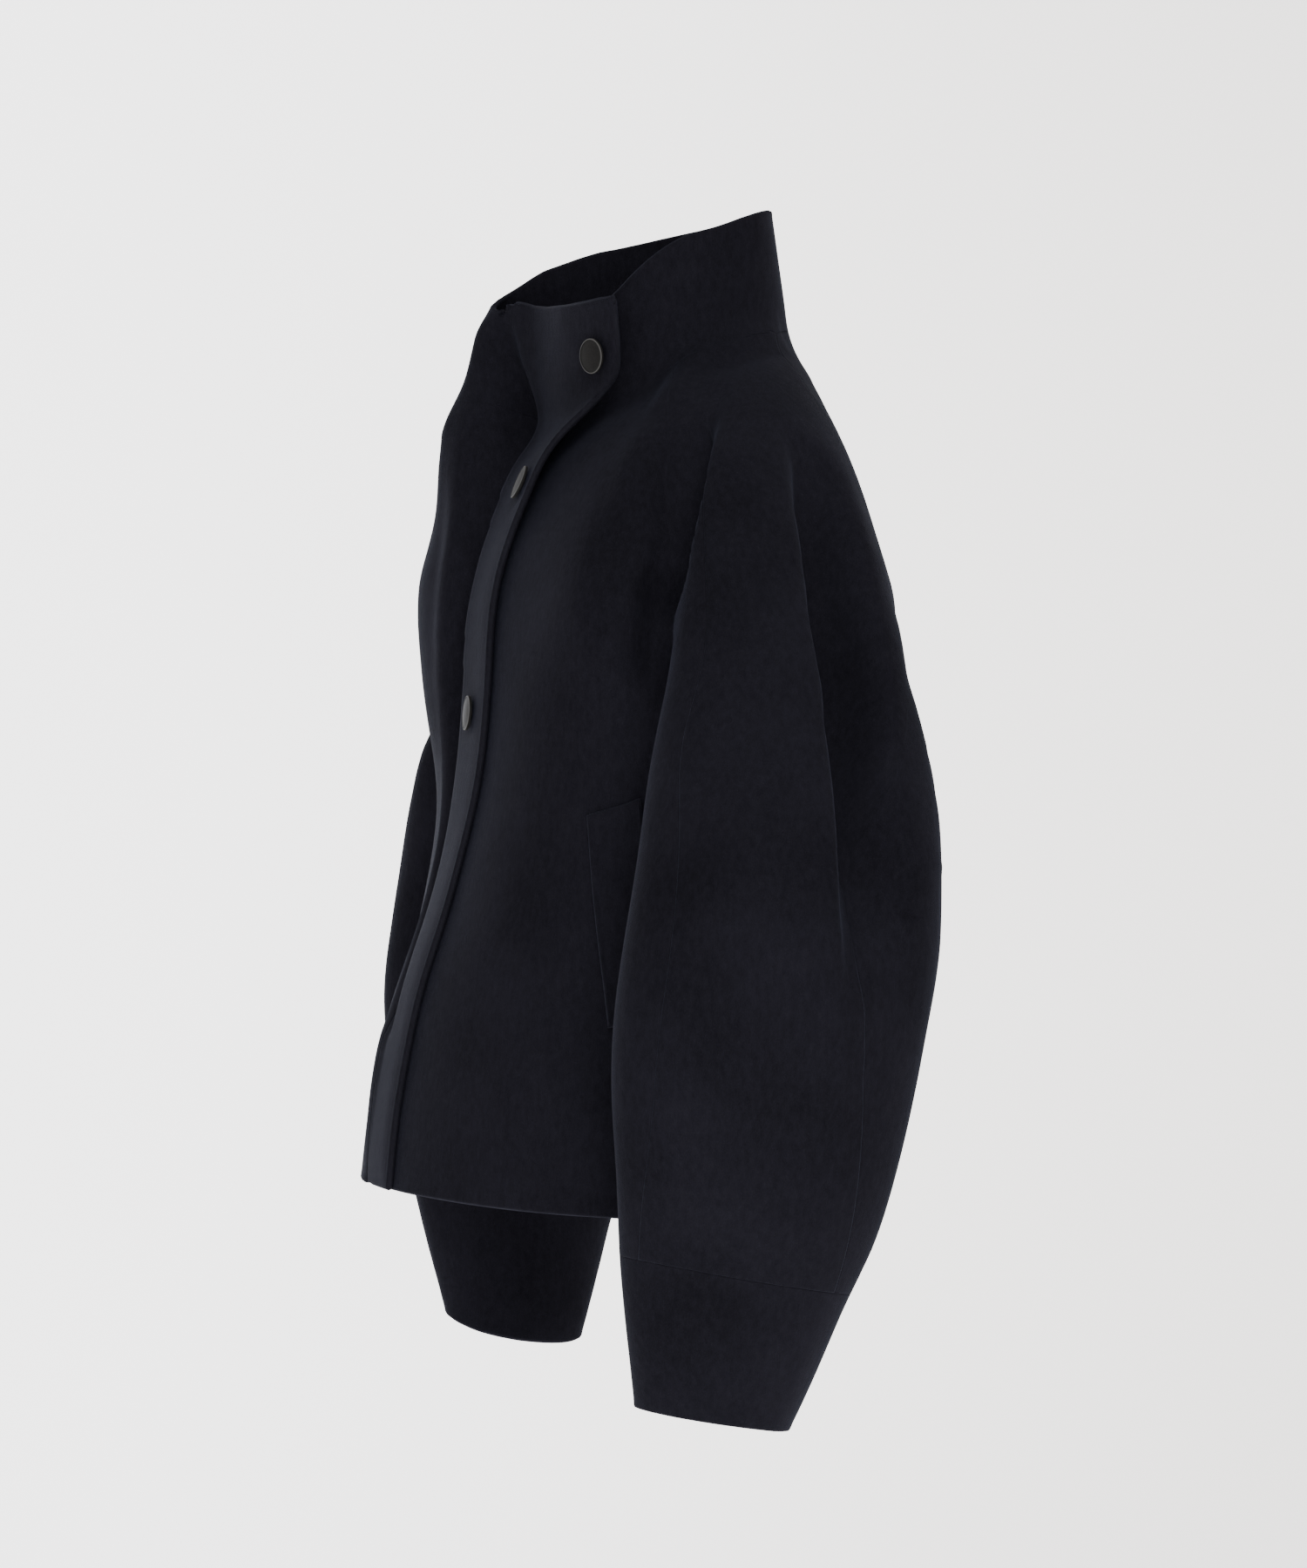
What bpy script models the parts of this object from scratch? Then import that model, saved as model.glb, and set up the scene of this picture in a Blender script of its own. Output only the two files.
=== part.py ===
"""Short wool coat, worn open at the neck edge and closed to the hem, as one hollow shell of sewn panels.

Frame: +Z up, the wearer faces -Y and the wearer's left is +X. The origin is the middle of the neck base,
level with the side neck seam. Lengths are in metres and angles in degrees.
"""
import bpy
import bmesh
import numpy as np
from mathutils import Matrix, Vector

# Cloth and seams
CLOTH_THICKNESS = 0.003
SEAM_GAP = 0.0003
RIM_DRAW = 0.6 * SEAM_GAP
BAND_THICKNESS = 0.0045

# Panels across: spans between the named lines of half the coat, and rows down
BAND_SPANS = 3
FRONT_SPANS = 8
STRIP_SPANS = 3
OUTER_SPANS = 11
BACK_SPANS = 8
UNDERARM_SPANS = 8
COLLAR_ROWS = 6
YOKE_ROWS = 12
BODY_ROWS = 15
SLEEVE_ROWS = 15
CUFF_ROWS = 4

# Closed sections from the collar top to the underarm; fold_front and fold_back press in the armhole fold.
# The lines edge, groove, armhole_front, sleeve_front and armhole_back are angles from the centre front; a
# section is cut level up to the angle flat.
YOKE_COLUMNS = ("x_side", "y_side", "y_front", "y_back", "z_side", "z_front", "z_back", "square",
                "edge", "groove", "armhole_front", "sleeve_front", "armhole_back",
                "fold_front", "fold_back", "flat")
COLLAR_SECTIONS = (
    (0.089, 0.026, -0.052, 0.092, 0.083, 0.039, 0.103, 2.5, 53, 40, 74, 82, 127, 0.000, 0.000, 44),
    (0.088, 0.027, -0.051, 0.099, 0.040, -0.005, 0.062, 2.4, 53, 40, 74, 82, 127, 0.000, 0.000, 0),
    (0.085, 0.028, -0.049, 0.105, 0.010, -0.034, 0.033, 2.2, 51, 39, 74, 82, 127, 0.000, 0.000, 0),
)
YOKE_SECTIONS = (
    (0.086, 0.028, -0.050, 0.107, 0.000, -0.045, 0.021, 2.1, 48, 37, 74, 82, 127, 0.000, 0.000, 0),
    (0.128, 0.024, -0.070, 0.119, -0.020, -0.075, -0.012, 2.1, 23, 22, 71, 81, 129, 0.000, 0.000, 0),
    (0.174, 0.022, -0.083, 0.129, -0.047, -0.103, -0.052, 2.2, 14, 14, 65, 78, 131, 0.013, 0.000, 0),
    (0.216, 0.021, -0.095, 0.139, -0.092, -0.130, -0.094, 2.3, 9, 8, 58, 75, 133, 0.032, 0.000, 0),
    (0.254, 0.022, -0.103, 0.144, -0.145, -0.156, -0.134, 2.35, 7, 5.5, 52, 72, 135, 0.045, 0.002, 0),
    (0.287, 0.025, -0.108, 0.145, -0.200, -0.181, -0.172, 2.4, 6.3, 4.5, 48, 69, 136, 0.048, 0.004, 0),
)
ARMHOLE_FOLD_WIDTH = 0.023
FLAT_CLIMB = 1.2

# Sections of the body from below the underarm to the hem; edge and groove are distances from the centre front
BODY_COLUMNS = ("x_side", "y_side", "y_front", "y_back", "z_side", "z_front", "z_back", "square",
                "edge", "groove", "armhole_front", "armhole_back")
BODY_SECTIONS = (
    (0.196, 0.015, -0.113, 0.142, -0.268, -0.235, -0.240, 3.6, 0.050, 0.036, 70, 118),
    (0.198, 0.010, -0.121, 0.140, -0.318, -0.298, -0.305, 3.2, 0.046, 0.032, 68, 116),
    (0.206, 0.002, -0.138, 0.140, -0.376, -0.366, -0.370, 2.7, 0.040, 0.028, 66, 116),
    (0.213, -0.004, -0.159, 0.141, -0.440, -0.432, -0.438, 2.4, 0.039, 0.028, 65, 116),
    (0.215, -0.008, -0.173, 0.142, -0.507, -0.503, -0.506, 2.4, 0.0385, 0.0235, 64, 116),
    (0.213, -0.010, -0.179, 0.142, -0.572, -0.562, -0.570, 2.4, 0.038, 0.018, 64, 116),
)

# The underarm, where the side seam meets the sleeve
UNDERARM_X = 0.203
UNDERARM_Y = 0.030
UNDERARM_Z = -0.238

# Sections of the left sleeve and cuff; tilt lowers the rear of a section
SLEEVE_COLUMNS = ("x", "y", "z", "half_depth", "half_width", "tilt",
                  "armhole_front", "sleeve_front", "armhole_back")
SLEEVE_SECTIONS = (
    (0.263, 0.024, -0.268, 0.091, 0.060, 0.000, -46, 30, 130),
    (0.281, 0.022, -0.320, 0.103, 0.067, 0.000, -45, 35, 106),
    (0.296, 0.015, -0.380, 0.110, 0.070, 0.000, -45, 38, 100),
    (0.300, 0.004, -0.445, 0.109, 0.068, 0.003, -45, 38, 106),
    (0.292, -0.002, -0.515, 0.100, 0.063, 0.007, -45, 35, 115),
    (0.281, -0.006, -0.572, 0.089, 0.058, 0.012, -45, 26, 122),
    (0.272, -0.012, -0.603, 0.078, 0.054, 0.015, -45, 23, 130),
)
CUFF_SECTIONS = (
    (0.272, -0.012, -0.603, 0.078, 0.054, 0.015, -45, 23, 130),
    (0.260, -0.016, -0.650, 0.066, 0.048, 0.012, -45, 24, 130),
    (0.247, -0.020, -0.697, 0.053, 0.042, 0.009, -45, 25, 130),
)


def table(names, rows):
    """Rows with named columns as one array a name."""
    return dict(zip(names, np.array(rows, dtype=float).T))


def level_front(section, angle):
    """Heights of a section that is level at the front up to the angle flat and then climbs to the side."""
    span = 90.0 - section["flat"]
    t = np.clip((angle - section["flat"]) / span, 0.0, 1.0)
    climb = section["z_side"] - section["z_front"]
    end_slope = np.radians(span) * 0.5 * (section["z_back"] - section["z_front"])
    return (section["z_front"] + climb * t * t * (3 - 2 * t)
            + FLAT_CLIMB * climb * t * (1 - t) ** 2 - end_slope * t * t * (1 - t))


def superellipse(section, angle):
    """Points of one closed section at angles from the centre front round the left side to the back."""
    sine = np.sin(np.radians(angle))
    cosine = np.cos(np.radians(angle))
    power = 2.0 / section["square"]
    front = cosine > 0
    y_end = np.where(front, section["y_front"], section["y_back"])
    x = section["x_side"] * np.abs(sine) ** power
    y = section["y_side"] + (y_end - section["y_side"]) * np.abs(cosine) ** power
    level = 0.5 * (section["z_front"] + section["z_back"])
    lean = 0.5 * (section["z_front"] - section["z_back"])
    z = level + lean * cosine + (section["z_side"] - level) * sine ** 2
    if section.get("flat", 0) > 0:
        z = np.where(front, level_front(section, angle), z)
    return np.stack([x, y, z], axis=-1)


def fill_angles(keys, spans):
    """Angles of all lines, spread evenly between the named ones."""
    pieces = [np.linspace(keys[i], keys[i + 1], spans[i] + 1)[:-1] for i in range(len(spans))]
    return np.concatenate(pieces + [keys[-1:]])


def press_fold(points, section, angles, at, depth, width):
    """Press a soft trough into a section, centred on the point with index at."""
    inside = np.clip(angles, 1.0, 179.0)
    step = superellipse(section, inside + 0.5) - superellipse(section, inside - 0.5)
    outward = np.stack([step[:, 1], -step[:, 0]], axis=-1)
    outward /= np.linalg.norm(outward, axis=1)[:, None]
    lengths = np.linalg.norm(np.diff(points, axis=0), axis=1)
    along = np.concatenate([[0.0], np.cumsum(lengths)])
    push = depth * np.exp(-((along - along[at]) / width) ** 2)
    pressed = points.copy()
    pressed[:, :2] -= outward * push[:, None]
    return pressed


def spline(points, knots, places):
    """Smooth curve through the sections (first axis) at the given places between the knots."""
    slopes = np.empty_like(points)
    steps = np.diff(knots)
    rates = np.diff(points, axis=0) / steps.reshape((-1,) + (1,) * (points.ndim - 1))
    slopes[0] = rates[0]
    slopes[-1] = rates[-1]
    for i in range(1, len(knots) - 1):
        slopes[i] = (rates[i - 1] * steps[i] + rates[i] * steps[i - 1]) / (steps[i - 1] + steps[i])
    rows = []
    for place in places:
        i = min(max(np.searchsorted(knots, place, side="right") - 1, 0), len(steps) - 1)
        t = (place - knots[i]) / steps[i]
        rows.append(points[i] * (1 + 2 * t) * (1 - t) ** 2 + points[i + 1] * t * t * (3 - 2 * t)
                    + steps[i] * (slopes[i] * t * (1 - t) ** 2 - slopes[i + 1] * t * t * (1 - t)))
    return np.array(rows)


def spacing(points):
    """Knots for a run of sections from their mean distance apart."""
    steps = np.linalg.norm(np.diff(points, axis=0), axis=2).mean(axis=1)
    return np.concatenate([[0.0], np.cumsum(steps)])


# Lines across the strip that runs from the groove, under the band, round the left side to the groove again
EDGE_LINE = BAND_SPANS
ARM_FRONT_LINE = EDGE_LINE + FRONT_SPANS
SLEEVE_FRONT_LINE = ARM_FRONT_LINE + STRIP_SPANS
ARM_BACK_LINE = SLEEVE_FRONT_LINE + OUTER_SPANS
SIDE_LINE = ARM_FRONT_LINE + UNDERARM_SPANS // 2
SLEEVE_UNDER_LINE = STRIP_SPANS + OUTER_SPANS
SLEEVE_LINES = SLEEVE_UNDER_LINE + UNDERARM_SPANS
MIRROR = np.array([-1.0, 1.0, 1.0])


def section_at(columns, i):
    """One row of a table."""
    return {name: values[i] for name, values in columns.items()}


def as_strip(left, right):
    """Join the two halves of a section into the strip that starts and ends at the groove."""
    right = right * MIRROR
    return np.concatenate([right[BAND_SPANS:0:-1], left, right[-2:BAND_SPANS - 1:-1]])


def yoke_strip(section):
    halves = []
    for first in ("edge", "groove"):
        keys = np.array([0, section[first], section["armhole_front"], section["sleeve_front"],
                         section["armhole_back"], 180.0])
        angles = fill_angles(keys, (BAND_SPANS, FRONT_SPANS, STRIP_SPANS, OUTER_SPANS, BACK_SPANS))
        half = superellipse(section, angles)
        for line, depth in ((ARM_FRONT_LINE, "fold_front"), (ARM_BACK_LINE, "fold_back")):
            half = press_fold(half, section, angles, line, section[depth], ARMHOLE_FOLD_WIDTH)
        halves.append(half)
    return as_strip(*halves)


def body_strip(section):
    halves = []
    for first in ("edge", "groove"):
        share = (section[first] / section["x_side"]) ** (section["square"] / 2)
        start = np.degrees(np.arcsin(share))
        keys = np.array([0, start, section["armhole_front"], 90.0, section["armhole_back"], 180.0])
        half_under = UNDERARM_SPANS // 2
        angles = fill_angles(keys, (BAND_SPANS, FRONT_SPANS, half_under, half_under, BACK_SPANS))
        halves.append(superellipse(section, angles))
    return as_strip(*halves)


def sleeve_ring(section):
    """One closed section of the left sleeve, from the front armhole line over the outside to it again."""
    keys = np.array([section["armhole_front"], section["sleeve_front"], section["armhole_back"], 270.0,
                     section["armhole_front"] + 360.0])
    half_under = UNDERARM_SPANS // 2
    angle = np.radians(fill_angles(keys, (STRIP_SPANS, OUTER_SPANS, half_under, half_under)))[:-1]
    x = section["x"] + section["half_width"] * np.sin(angle)
    y = section["y"] - section["half_depth"] * np.cos(angle)
    z = section["z"] + section["tilt"] * np.cos(angle)
    return np.stack([x, y, z], axis=-1)


def sections(columns, shape):
    return np.array([shape(section_at(columns, i)) for i in range(len(next(iter(columns.values()))))])


def underarm_curve(front, back):
    """The bottom of the armhole from its front corner to its back corner through the underarm."""
    middle = np.array([UNDERARM_X, UNDERARM_Y, UNDERARM_Z])
    t = np.linspace(0.0, 1.0, UNDERARM_SPANS + 1)[:, None]
    return front * (1 - t) * (1 - 2 * t) + middle * 4 * t * (1 - t) + back * t * (2 * t - 1)


def run_down(top, top_knots, low, low_knots, rows):
    """Rows below the underarm that carry on smoothly from the sections above it."""
    points = np.concatenate([top, low])
    knots = np.concatenate([top_knots, top_knots[-1] + low_knots[1:]])
    places = np.linspace(top_knots[-1], knots[-1], rows + 1)
    return spline(points, knots, places)


def coat_grids():
    """Point grids (row, line, xyz) of the neck and shoulders, the body, the left sleeve and its cuff."""
    top = sections(table(YOKE_COLUMNS, COLLAR_SECTIONS + YOKE_SECTIONS), yoke_strip)
    body = sections(table(BODY_COLUMNS, BODY_SECTIONS), body_strip)
    sleeve = sections(table(SLEEVE_COLUMNS, SLEEVE_SECTIONS), sleeve_ring)
    cuff = sections(table(SLEEVE_COLUMNS, CUFF_SECTIONS), sleeve_ring)
    knots = spacing(top)
    neck = knots[len(COLLAR_SECTIONS)]
    places = np.concatenate([np.linspace(0.0, neck, COLLAR_ROWS + 1),
                             np.linspace(neck, knots[-1], YOKE_ROWS + 1)[1:]])

    # Lines of the strip above the underarm that belong to the front and back, and to each sleeve
    arm_front = BAND_SPANS + ARM_FRONT_LINE
    arm_back = BAND_SPANS + ARM_BACK_LINE
    last = top.shape[1] - 1
    far_back = last + 2 * BAND_SPANS - arm_back
    far_front = last + 2 * BAND_SPANS - arm_front
    armhole = underarm_curve(top[-1, arm_front], top[-1, arm_back])
    split = np.concatenate([top[-1, :arm_front], armhole, top[-1, arm_back + 1:far_back],
                            armhole[::-1] * MIRROR, top[-1, far_front + 1:]])
    body_knots = spacing(np.concatenate([split[None], body]))
    ring = np.concatenate([top[-1, arm_front:arm_back], armhole[:0:-1]])
    sleeve_knots = spacing(np.concatenate([ring[None], sleeve]))

    # Shoulder lines run on into the body or the sleeve; the armhole corners end there
    upper = spline(top, knots, places)
    body_above = [i for i in range(last + 1) if i < arm_front or arm_back < i < far_back or i > far_front]
    shift = arm_back - arm_front - UNDERARM_SPANS
    body_below = [i if i < arm_front else i - shift if i < far_back else i - 2 * shift for i in body_above]
    body_places = np.linspace(0, body_knots[-1], BODY_ROWS + 1)
    lower = spline(np.concatenate([split[None], body]), body_knots, body_places)
    joined = np.concatenate([knots, knots[-1] + body_knots[1:]])
    through = np.concatenate([top[:, body_above], body[:, body_below]])
    upper[:, body_above] = spline(through, joined, places)
    lower[:, body_below] = run_down(top[:, body_above], knots, body[:, body_below], body_knots, BODY_ROWS)

    tube = spline(np.concatenate([ring[None], sleeve]), sleeve_knots,
                  np.linspace(0, sleeve_knots[-1], SLEEVE_ROWS + 1))
    on_sleeve = list(range(arm_front + 1, arm_back))
    on_tube = list(range(1, SLEEVE_UNDER_LINE))
    joined = np.concatenate([knots, knots[-1] + sleeve_knots[1:]])
    through = np.concatenate([top[:, on_sleeve], sleeve[:, on_tube]])
    upper[:, on_sleeve] = spline(through, joined, places)
    tube[:, on_tube] = run_down(top[:, on_sleeve], knots, sleeve[:, on_tube], sleeve_knots, SLEEVE_ROWS)
    far = [last + 2 * BAND_SPANS - i for i in on_sleeve]
    upper[:, far] = upper[:, on_sleeve] * MIRROR

    cuff_knots = spacing(cuff)
    wrist = spline(cuff, cuff_knots, np.linspace(0, cuff_knots[-1], CUFF_ROWS + 1))
    return upper, lower, tube, wrist


# Folds: ridges stand out and valleys press in by depth, along a line from top to foot through its middle
FOLD_COLUMNS = ("side", "x_top", "y_top", "z_top", "x_mid", "y_mid", "z_mid", "x_foot", "y_foot", "z_foot",
                "half_width", "depth_top", "depth_mid", "depth_foot")
BOTH = 0
RIGHT = -1
FOLDS = (
    (BOTH, 0.195, 0.05, -0.07, 0.272, 0.062, -0.19, 0.352, 0.05, -0.38, 0.020, -0.004, -0.013, -0.003),
    (BOTH, 0.215, 0.112, -0.160, 0.255, 0.112, -0.240, 0.295, 0.110, -0.340, 0.048, 0.006, 0.012, 0.001),
    (RIGHT, -0.11, -0.075, -0.10, -0.115, -0.088, -0.155, -0.108, -0.10, -0.22, 0.050, 0.008, 0.023, 0.014),
    (RIGHT, -0.235, -0.05, -0.20, -0.262, -0.072, -0.272, -0.29, -0.085, -0.36, 0.040, 0.003, 0.024, 0.006),
)

# The right front and collar are drawn forward into a roll, the right cuff is held a little higher, and the
# lower right front sinks behind the band: centre, reach each way, and move of each swell
ROLL_COLUMNS = ("x", "y", "z", "reach_out", "reach_in", "reach_along", "reach_down", "reach_up",
                "move_x", "move_y", "move_z")
ROLLS = (
    (-0.105, -0.030, 0.005, 0.130, 0.045, 0.080, 0.150, 0.120, -0.004, -0.068, 0.004),
    (-0.095, -0.050, -0.006, 0.050, 0.024, 0.060, 0.048, 0.074, -0.014, -0.038, -0.006),
    (-0.092, -0.078, -0.010, 0.050, 0.020, 0.050, 0.024, 0.024, -0.011, -0.021, 0.000),
    (-0.260, -0.020, -0.720, 0.200, 0.045, 0.200, 0.100, 0.160, 0.000, 0.006, 0.013),
    (-0.080, -0.150, -0.390, 0.110, 0.070, 0.200, 0.110, 0.150, 0.000, 0.011, 0.000),
)

# How far the right front and collar stand out beside the band, and how soon they sink to the shell again
TOP_LAYER = SEAM_GAP + BAND_THICKNESS
TOP_LAYER_REACH = 0.100


class Shell:
    """The whole outer surface as shared points, with each face given to the panel it is cut for."""

    def __init__(self):
        self.index = {}
        self.points = []
        self.faces = {}
        self.layers = []
        self.underarms = []

    def point(self, position, layer=0):
        key = (layer,) + tuple(np.round(position, 7))
        if key not in self.index:
            self.index[key] = len(self.points)
            self.points.append(position)
        return self.index[key]

    def grid(self, points, closed=False, top_layer_line=None):
        """Numbers of a grid's points; the line on top of the groove is kept apart from the one below it."""
        numbers = np.array([[self.point(p, int(line == top_layer_line)) for line, p in enumerate(row)]
                            for row in points])
        if closed:
            numbers = np.concatenate([numbers, numbers[:, :1]], axis=1)
        return numbers

    def cut(self, panel, numbers, turned=False):
        """Give all faces of a grid to a panel."""
        faces = self.faces.setdefault(panel, [])
        for i in range(numbers.shape[0] - 1):
            for j in range(numbers.shape[1] - 1):
                a, b = numbers[i, j], numbers[i + 1, j]
                c, d = numbers[i + 1, j + 1], numbers[i, j + 1]
                faces.append((a, d, c, b) if turned else (a, b, c, d))

    def normals(self):
        points = np.array(self.points)
        total = np.zeros_like(points)
        for faces in self.faces.values():
            quads = np.array(faces)
            corners = points[quads]
            across = np.cross(corners[:, 2] - corners[:, 0], corners[:, 3] - corners[:, 1])
            for corner in range(4):
                np.add.at(total, quads[:, corner], across)
        for below, above in self.layers:
            total[below] = total[above] = total[below] + total[above]
        for armhole, body, sleeve in self.underarms:
            down = [points[run] - points[armhole] for run in (body, sleeve)]
            total[armhole] = sum(step / np.linalg.norm(step, axis=1)[:, None] for step in down)
        return total / np.linalg.norm(total, axis=1)[:, None]


def distance_along(points, line):
    """Distance of points from a three-point line, and how far along it each one is from 0 to 2."""
    best = np.full(len(points), np.inf)
    place = np.zeros(len(points))
    for i in range(2):
        span = line[i + 1] - line[i]
        t = np.clip((points - line[i]) @ span / (span @ span), 0.0, 1.0)
        away = np.linalg.norm(points - line[i] - t[:, None] * span, axis=1)
        nearer = away < best
        best = np.where(nearer, away, best)
        place = np.where(nearer, t + i, place)
    return best, place


def fold_push(points):
    """How far the folds move each point out of the shell."""
    push = np.zeros(len(points))
    for row in FOLDS:
        fold = dict(zip(FOLD_COLUMNS, row))
        line = np.array([[fold[axis + "_" + end] for axis in "xyz"] for end in ("top", "mid", "foot")])
        seen = points.copy()
        if fold["side"] == BOTH:
            seen[:, 0] = np.abs(seen[:, 0])
        away, place = distance_along(seen, line)
        depth = np.interp(place, (0, 1, 2), (fold["depth_top"], fold["depth_mid"], fold["depth_foot"]))
        push += depth * np.exp(-(away / fold["half_width"]) ** 2)
    return push


def roll_move(points, roll):
    """How far one swell of the roll moves each point."""
    away = points - [roll[axis] for axis in "xyz"]
    below = [roll["reach_out"], roll["reach_along"], roll["reach_down"]]
    above = [roll["reach_in"], roll["reach_along"], roll["reach_up"]]
    spread = (away / np.where(away < 0, below, above)) ** 2
    move = np.array([roll["move_" + axis] for axis in "xyz"])
    return np.exp(-spread.sum(axis=1))[:, None] * move


def build_shell():
    """Cut the whole shell into its panels and fold it."""
    upper, lower, tube, wrist = coat_grids()
    shell = Shell()
    last = upper.shape[1] - 1
    body_last = lower.shape[1] - 1
    top = shell.grid(upper, top_layer_line=last)
    body = shell.grid(lower, top_layer_line=body_last)
    sleeves = {"left": (shell.grid(tube, closed=True), shell.grid(wrist, closed=True)),
               "right": (shell.grid(tube * MIRROR, closed=True), shell.grid(wrist * MIRROR, closed=True))}

    neck = COLLAR_ROWS
    wing = neck + YOKE_ROWS // 3
    front = BAND_SPANS + ARM_FRONT_LINE
    strip = BAND_SPANS + SLEEVE_FRONT_LINE
    outer = BAND_SPANS + ARM_BACK_LINE
    side = BAND_SPANS + SIDE_LINE
    body_back = body_last + BAND_SPANS - SIDE_LINE
    far = last + 2 * BAND_SPANS
    shell.cut("collar", top[:neck + 1])
    shell.cut("front_left", top[neck:, :front + 1])
    shell.cut("front_left", body[:, :side + 1])
    shell.cut("back", top[neck:, outer:far - outer + 1])
    shell.cut("back", body[:, side:body_back + 1])
    shell.cut("front_right", top[neck:, far - front:])
    shell.cut("front_right", body[:, body_back:])
    shell.cut("sleeve_outer_left", top[neck:, strip:outer + 1])
    shell.cut("sleeve_outer_left", top[neck:wing + 1, front:strip + 1])
    shell.cut("sleeve_under_left", top[wing:, front:strip + 1])
    shell.cut("sleeve_outer_right", top[neck:, far - outer:far - strip + 1])
    shell.cut("sleeve_outer_right", top[neck:wing + 1, far - strip:far - front + 1])
    shell.cut("sleeve_under_right", top[wing:, far - strip:far - front + 1])
    for name, (sleeve, cuff) in sleeves.items():
        turned = name == "right"
        shell.cut("sleeve_outer_" + name, sleeve[:, STRIP_SPANS:SLEEVE_UNDER_LINE + 1], turned)
        shell.cut("sleeve_under_" + name, sleeve[:, SLEEVE_UNDER_LINE:], turned)
        shell.cut("sleeve_under_" + name, sleeve[:, :STRIP_SPANS + 1], turned)
        shell.cut("cuff_" + name, cuff, turned)

    shell.layers = [(top[:, 0], top[:, -1]), (body[1:, 0], body[1:, -1])]
    for name, first in (("left", front), ("right", body_last + 2 * BAND_SPANS - front - UNDERARM_SPANS)):
        lines = slice(first + 1, first + UNDERARM_SPANS)
        under = sleeves[name][0][1, SLEEVE_UNDER_LINE + 1:SLEEVE_LINES]
        shell.underarms.append((body[0, lines], body[1, lines], under[::-1] if name == "left" else under))

    points = np.array(shell.points)
    points = points + shell.normals() * fold_push(points)[:, None]
    for row in ROLLS:
        points = points + roll_move(points, dict(zip(ROLL_COLUMNS, row)))
    shell.points = list(points)
    normals = shell.normals()
    rise = np.zeros(len(points))
    for numbers in (top, body):
        row = points[numbers]
        lengths = np.linalg.norm(np.diff(row, axis=1), axis=2)[:, ::-1]
        away = np.concatenate([np.zeros((len(row), 1)), np.cumsum(lengths, axis=1)], axis=1)[:, ::-1]
        near = away < TOP_LAYER_REACH
        rise[numbers[near]] = TOP_LAYER * 0.5 * (1 + np.cos(np.pi * away[near] / TOP_LAYER_REACH))
    return shell.faces, points + normals * rise[:, None], normals, top, body


# The band is cut level at its top, and its free edge stands off the left front by lift; rows by height
BAND_TOP = 0.037
BAND_TOP_DRAW = 0.9
BAND_LIFT = ((-0.560, 0.001), (-0.240, 0.002), (-0.130, 0.004), (-0.030, 0.013), (0.040, 0.017))

# Slanted welt on the left front: corners as line and row of the body grid, from the groove and the underarm
WELT_CORNERS = ((12.4, 4.7), (14.7, 4.0), (16.4, 9.8), (14.4, 10.2))
WELT_SPANS = 5
WELT_ROWS = 8
WELT_CLEARANCE = 0.0006
WELT_THICKNESS = 0.003

# Snap caps on the band; the dome's rings are shares of its radius and height
SNAP_RADIUS = 0.0123
SNAP_HEIGHT = 0.0030
SNAP_POST_RADIUS = 0.0050
SNAP_POST_HEIGHT = 0.0014
SNAP_COLUMNS = ("height", "from_edge")
SNAPS = (
    (-0.011, 0.021),
    (-0.089, 0.022),
    (-0.242, 0.036),
)
SNAP_SIDES = 20
SNAP_SAMPLES = 61
SNAP_DOME = ((0.93, 0.0), (1.0, 0.25), (0.96, 0.6), (0.7, 0.88), (0.35, 1.0))

SHARP_ANGLE = 40

WOOL_COLOUR = (0.012, 0.013, 0.022, 1.0)
SNAP_COLOUR = (0.020, 0.020, 0.024, 1.0)


def principled(name, colour, roughness, metallic):
    material = bpy.data.materials.new(name)
    material.use_nodes = True
    shader = material.node_tree.nodes["Principled BSDF"]
    shader.inputs["Base Color"].default_value = colour
    shader.inputs["Roughness"].default_value = roughness
    shader.inputs["Metallic"].default_value = metallic
    material.diffuse_color = colour
    return material


def add_object(name, points, faces, material):
    mesh = bpy.data.meshes.new(name)
    mesh.from_pydata([tuple(p) for p in points], [], faces)
    mesh.materials.append(material)
    mesh.shade_smooth()
    mesh.set_sharp_from_angle(angle=np.radians(SHARP_ANGLE))
    item = bpy.data.objects.new(name, mesh)
    bpy.context.scene.collection.objects.link(item)
    return item


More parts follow.
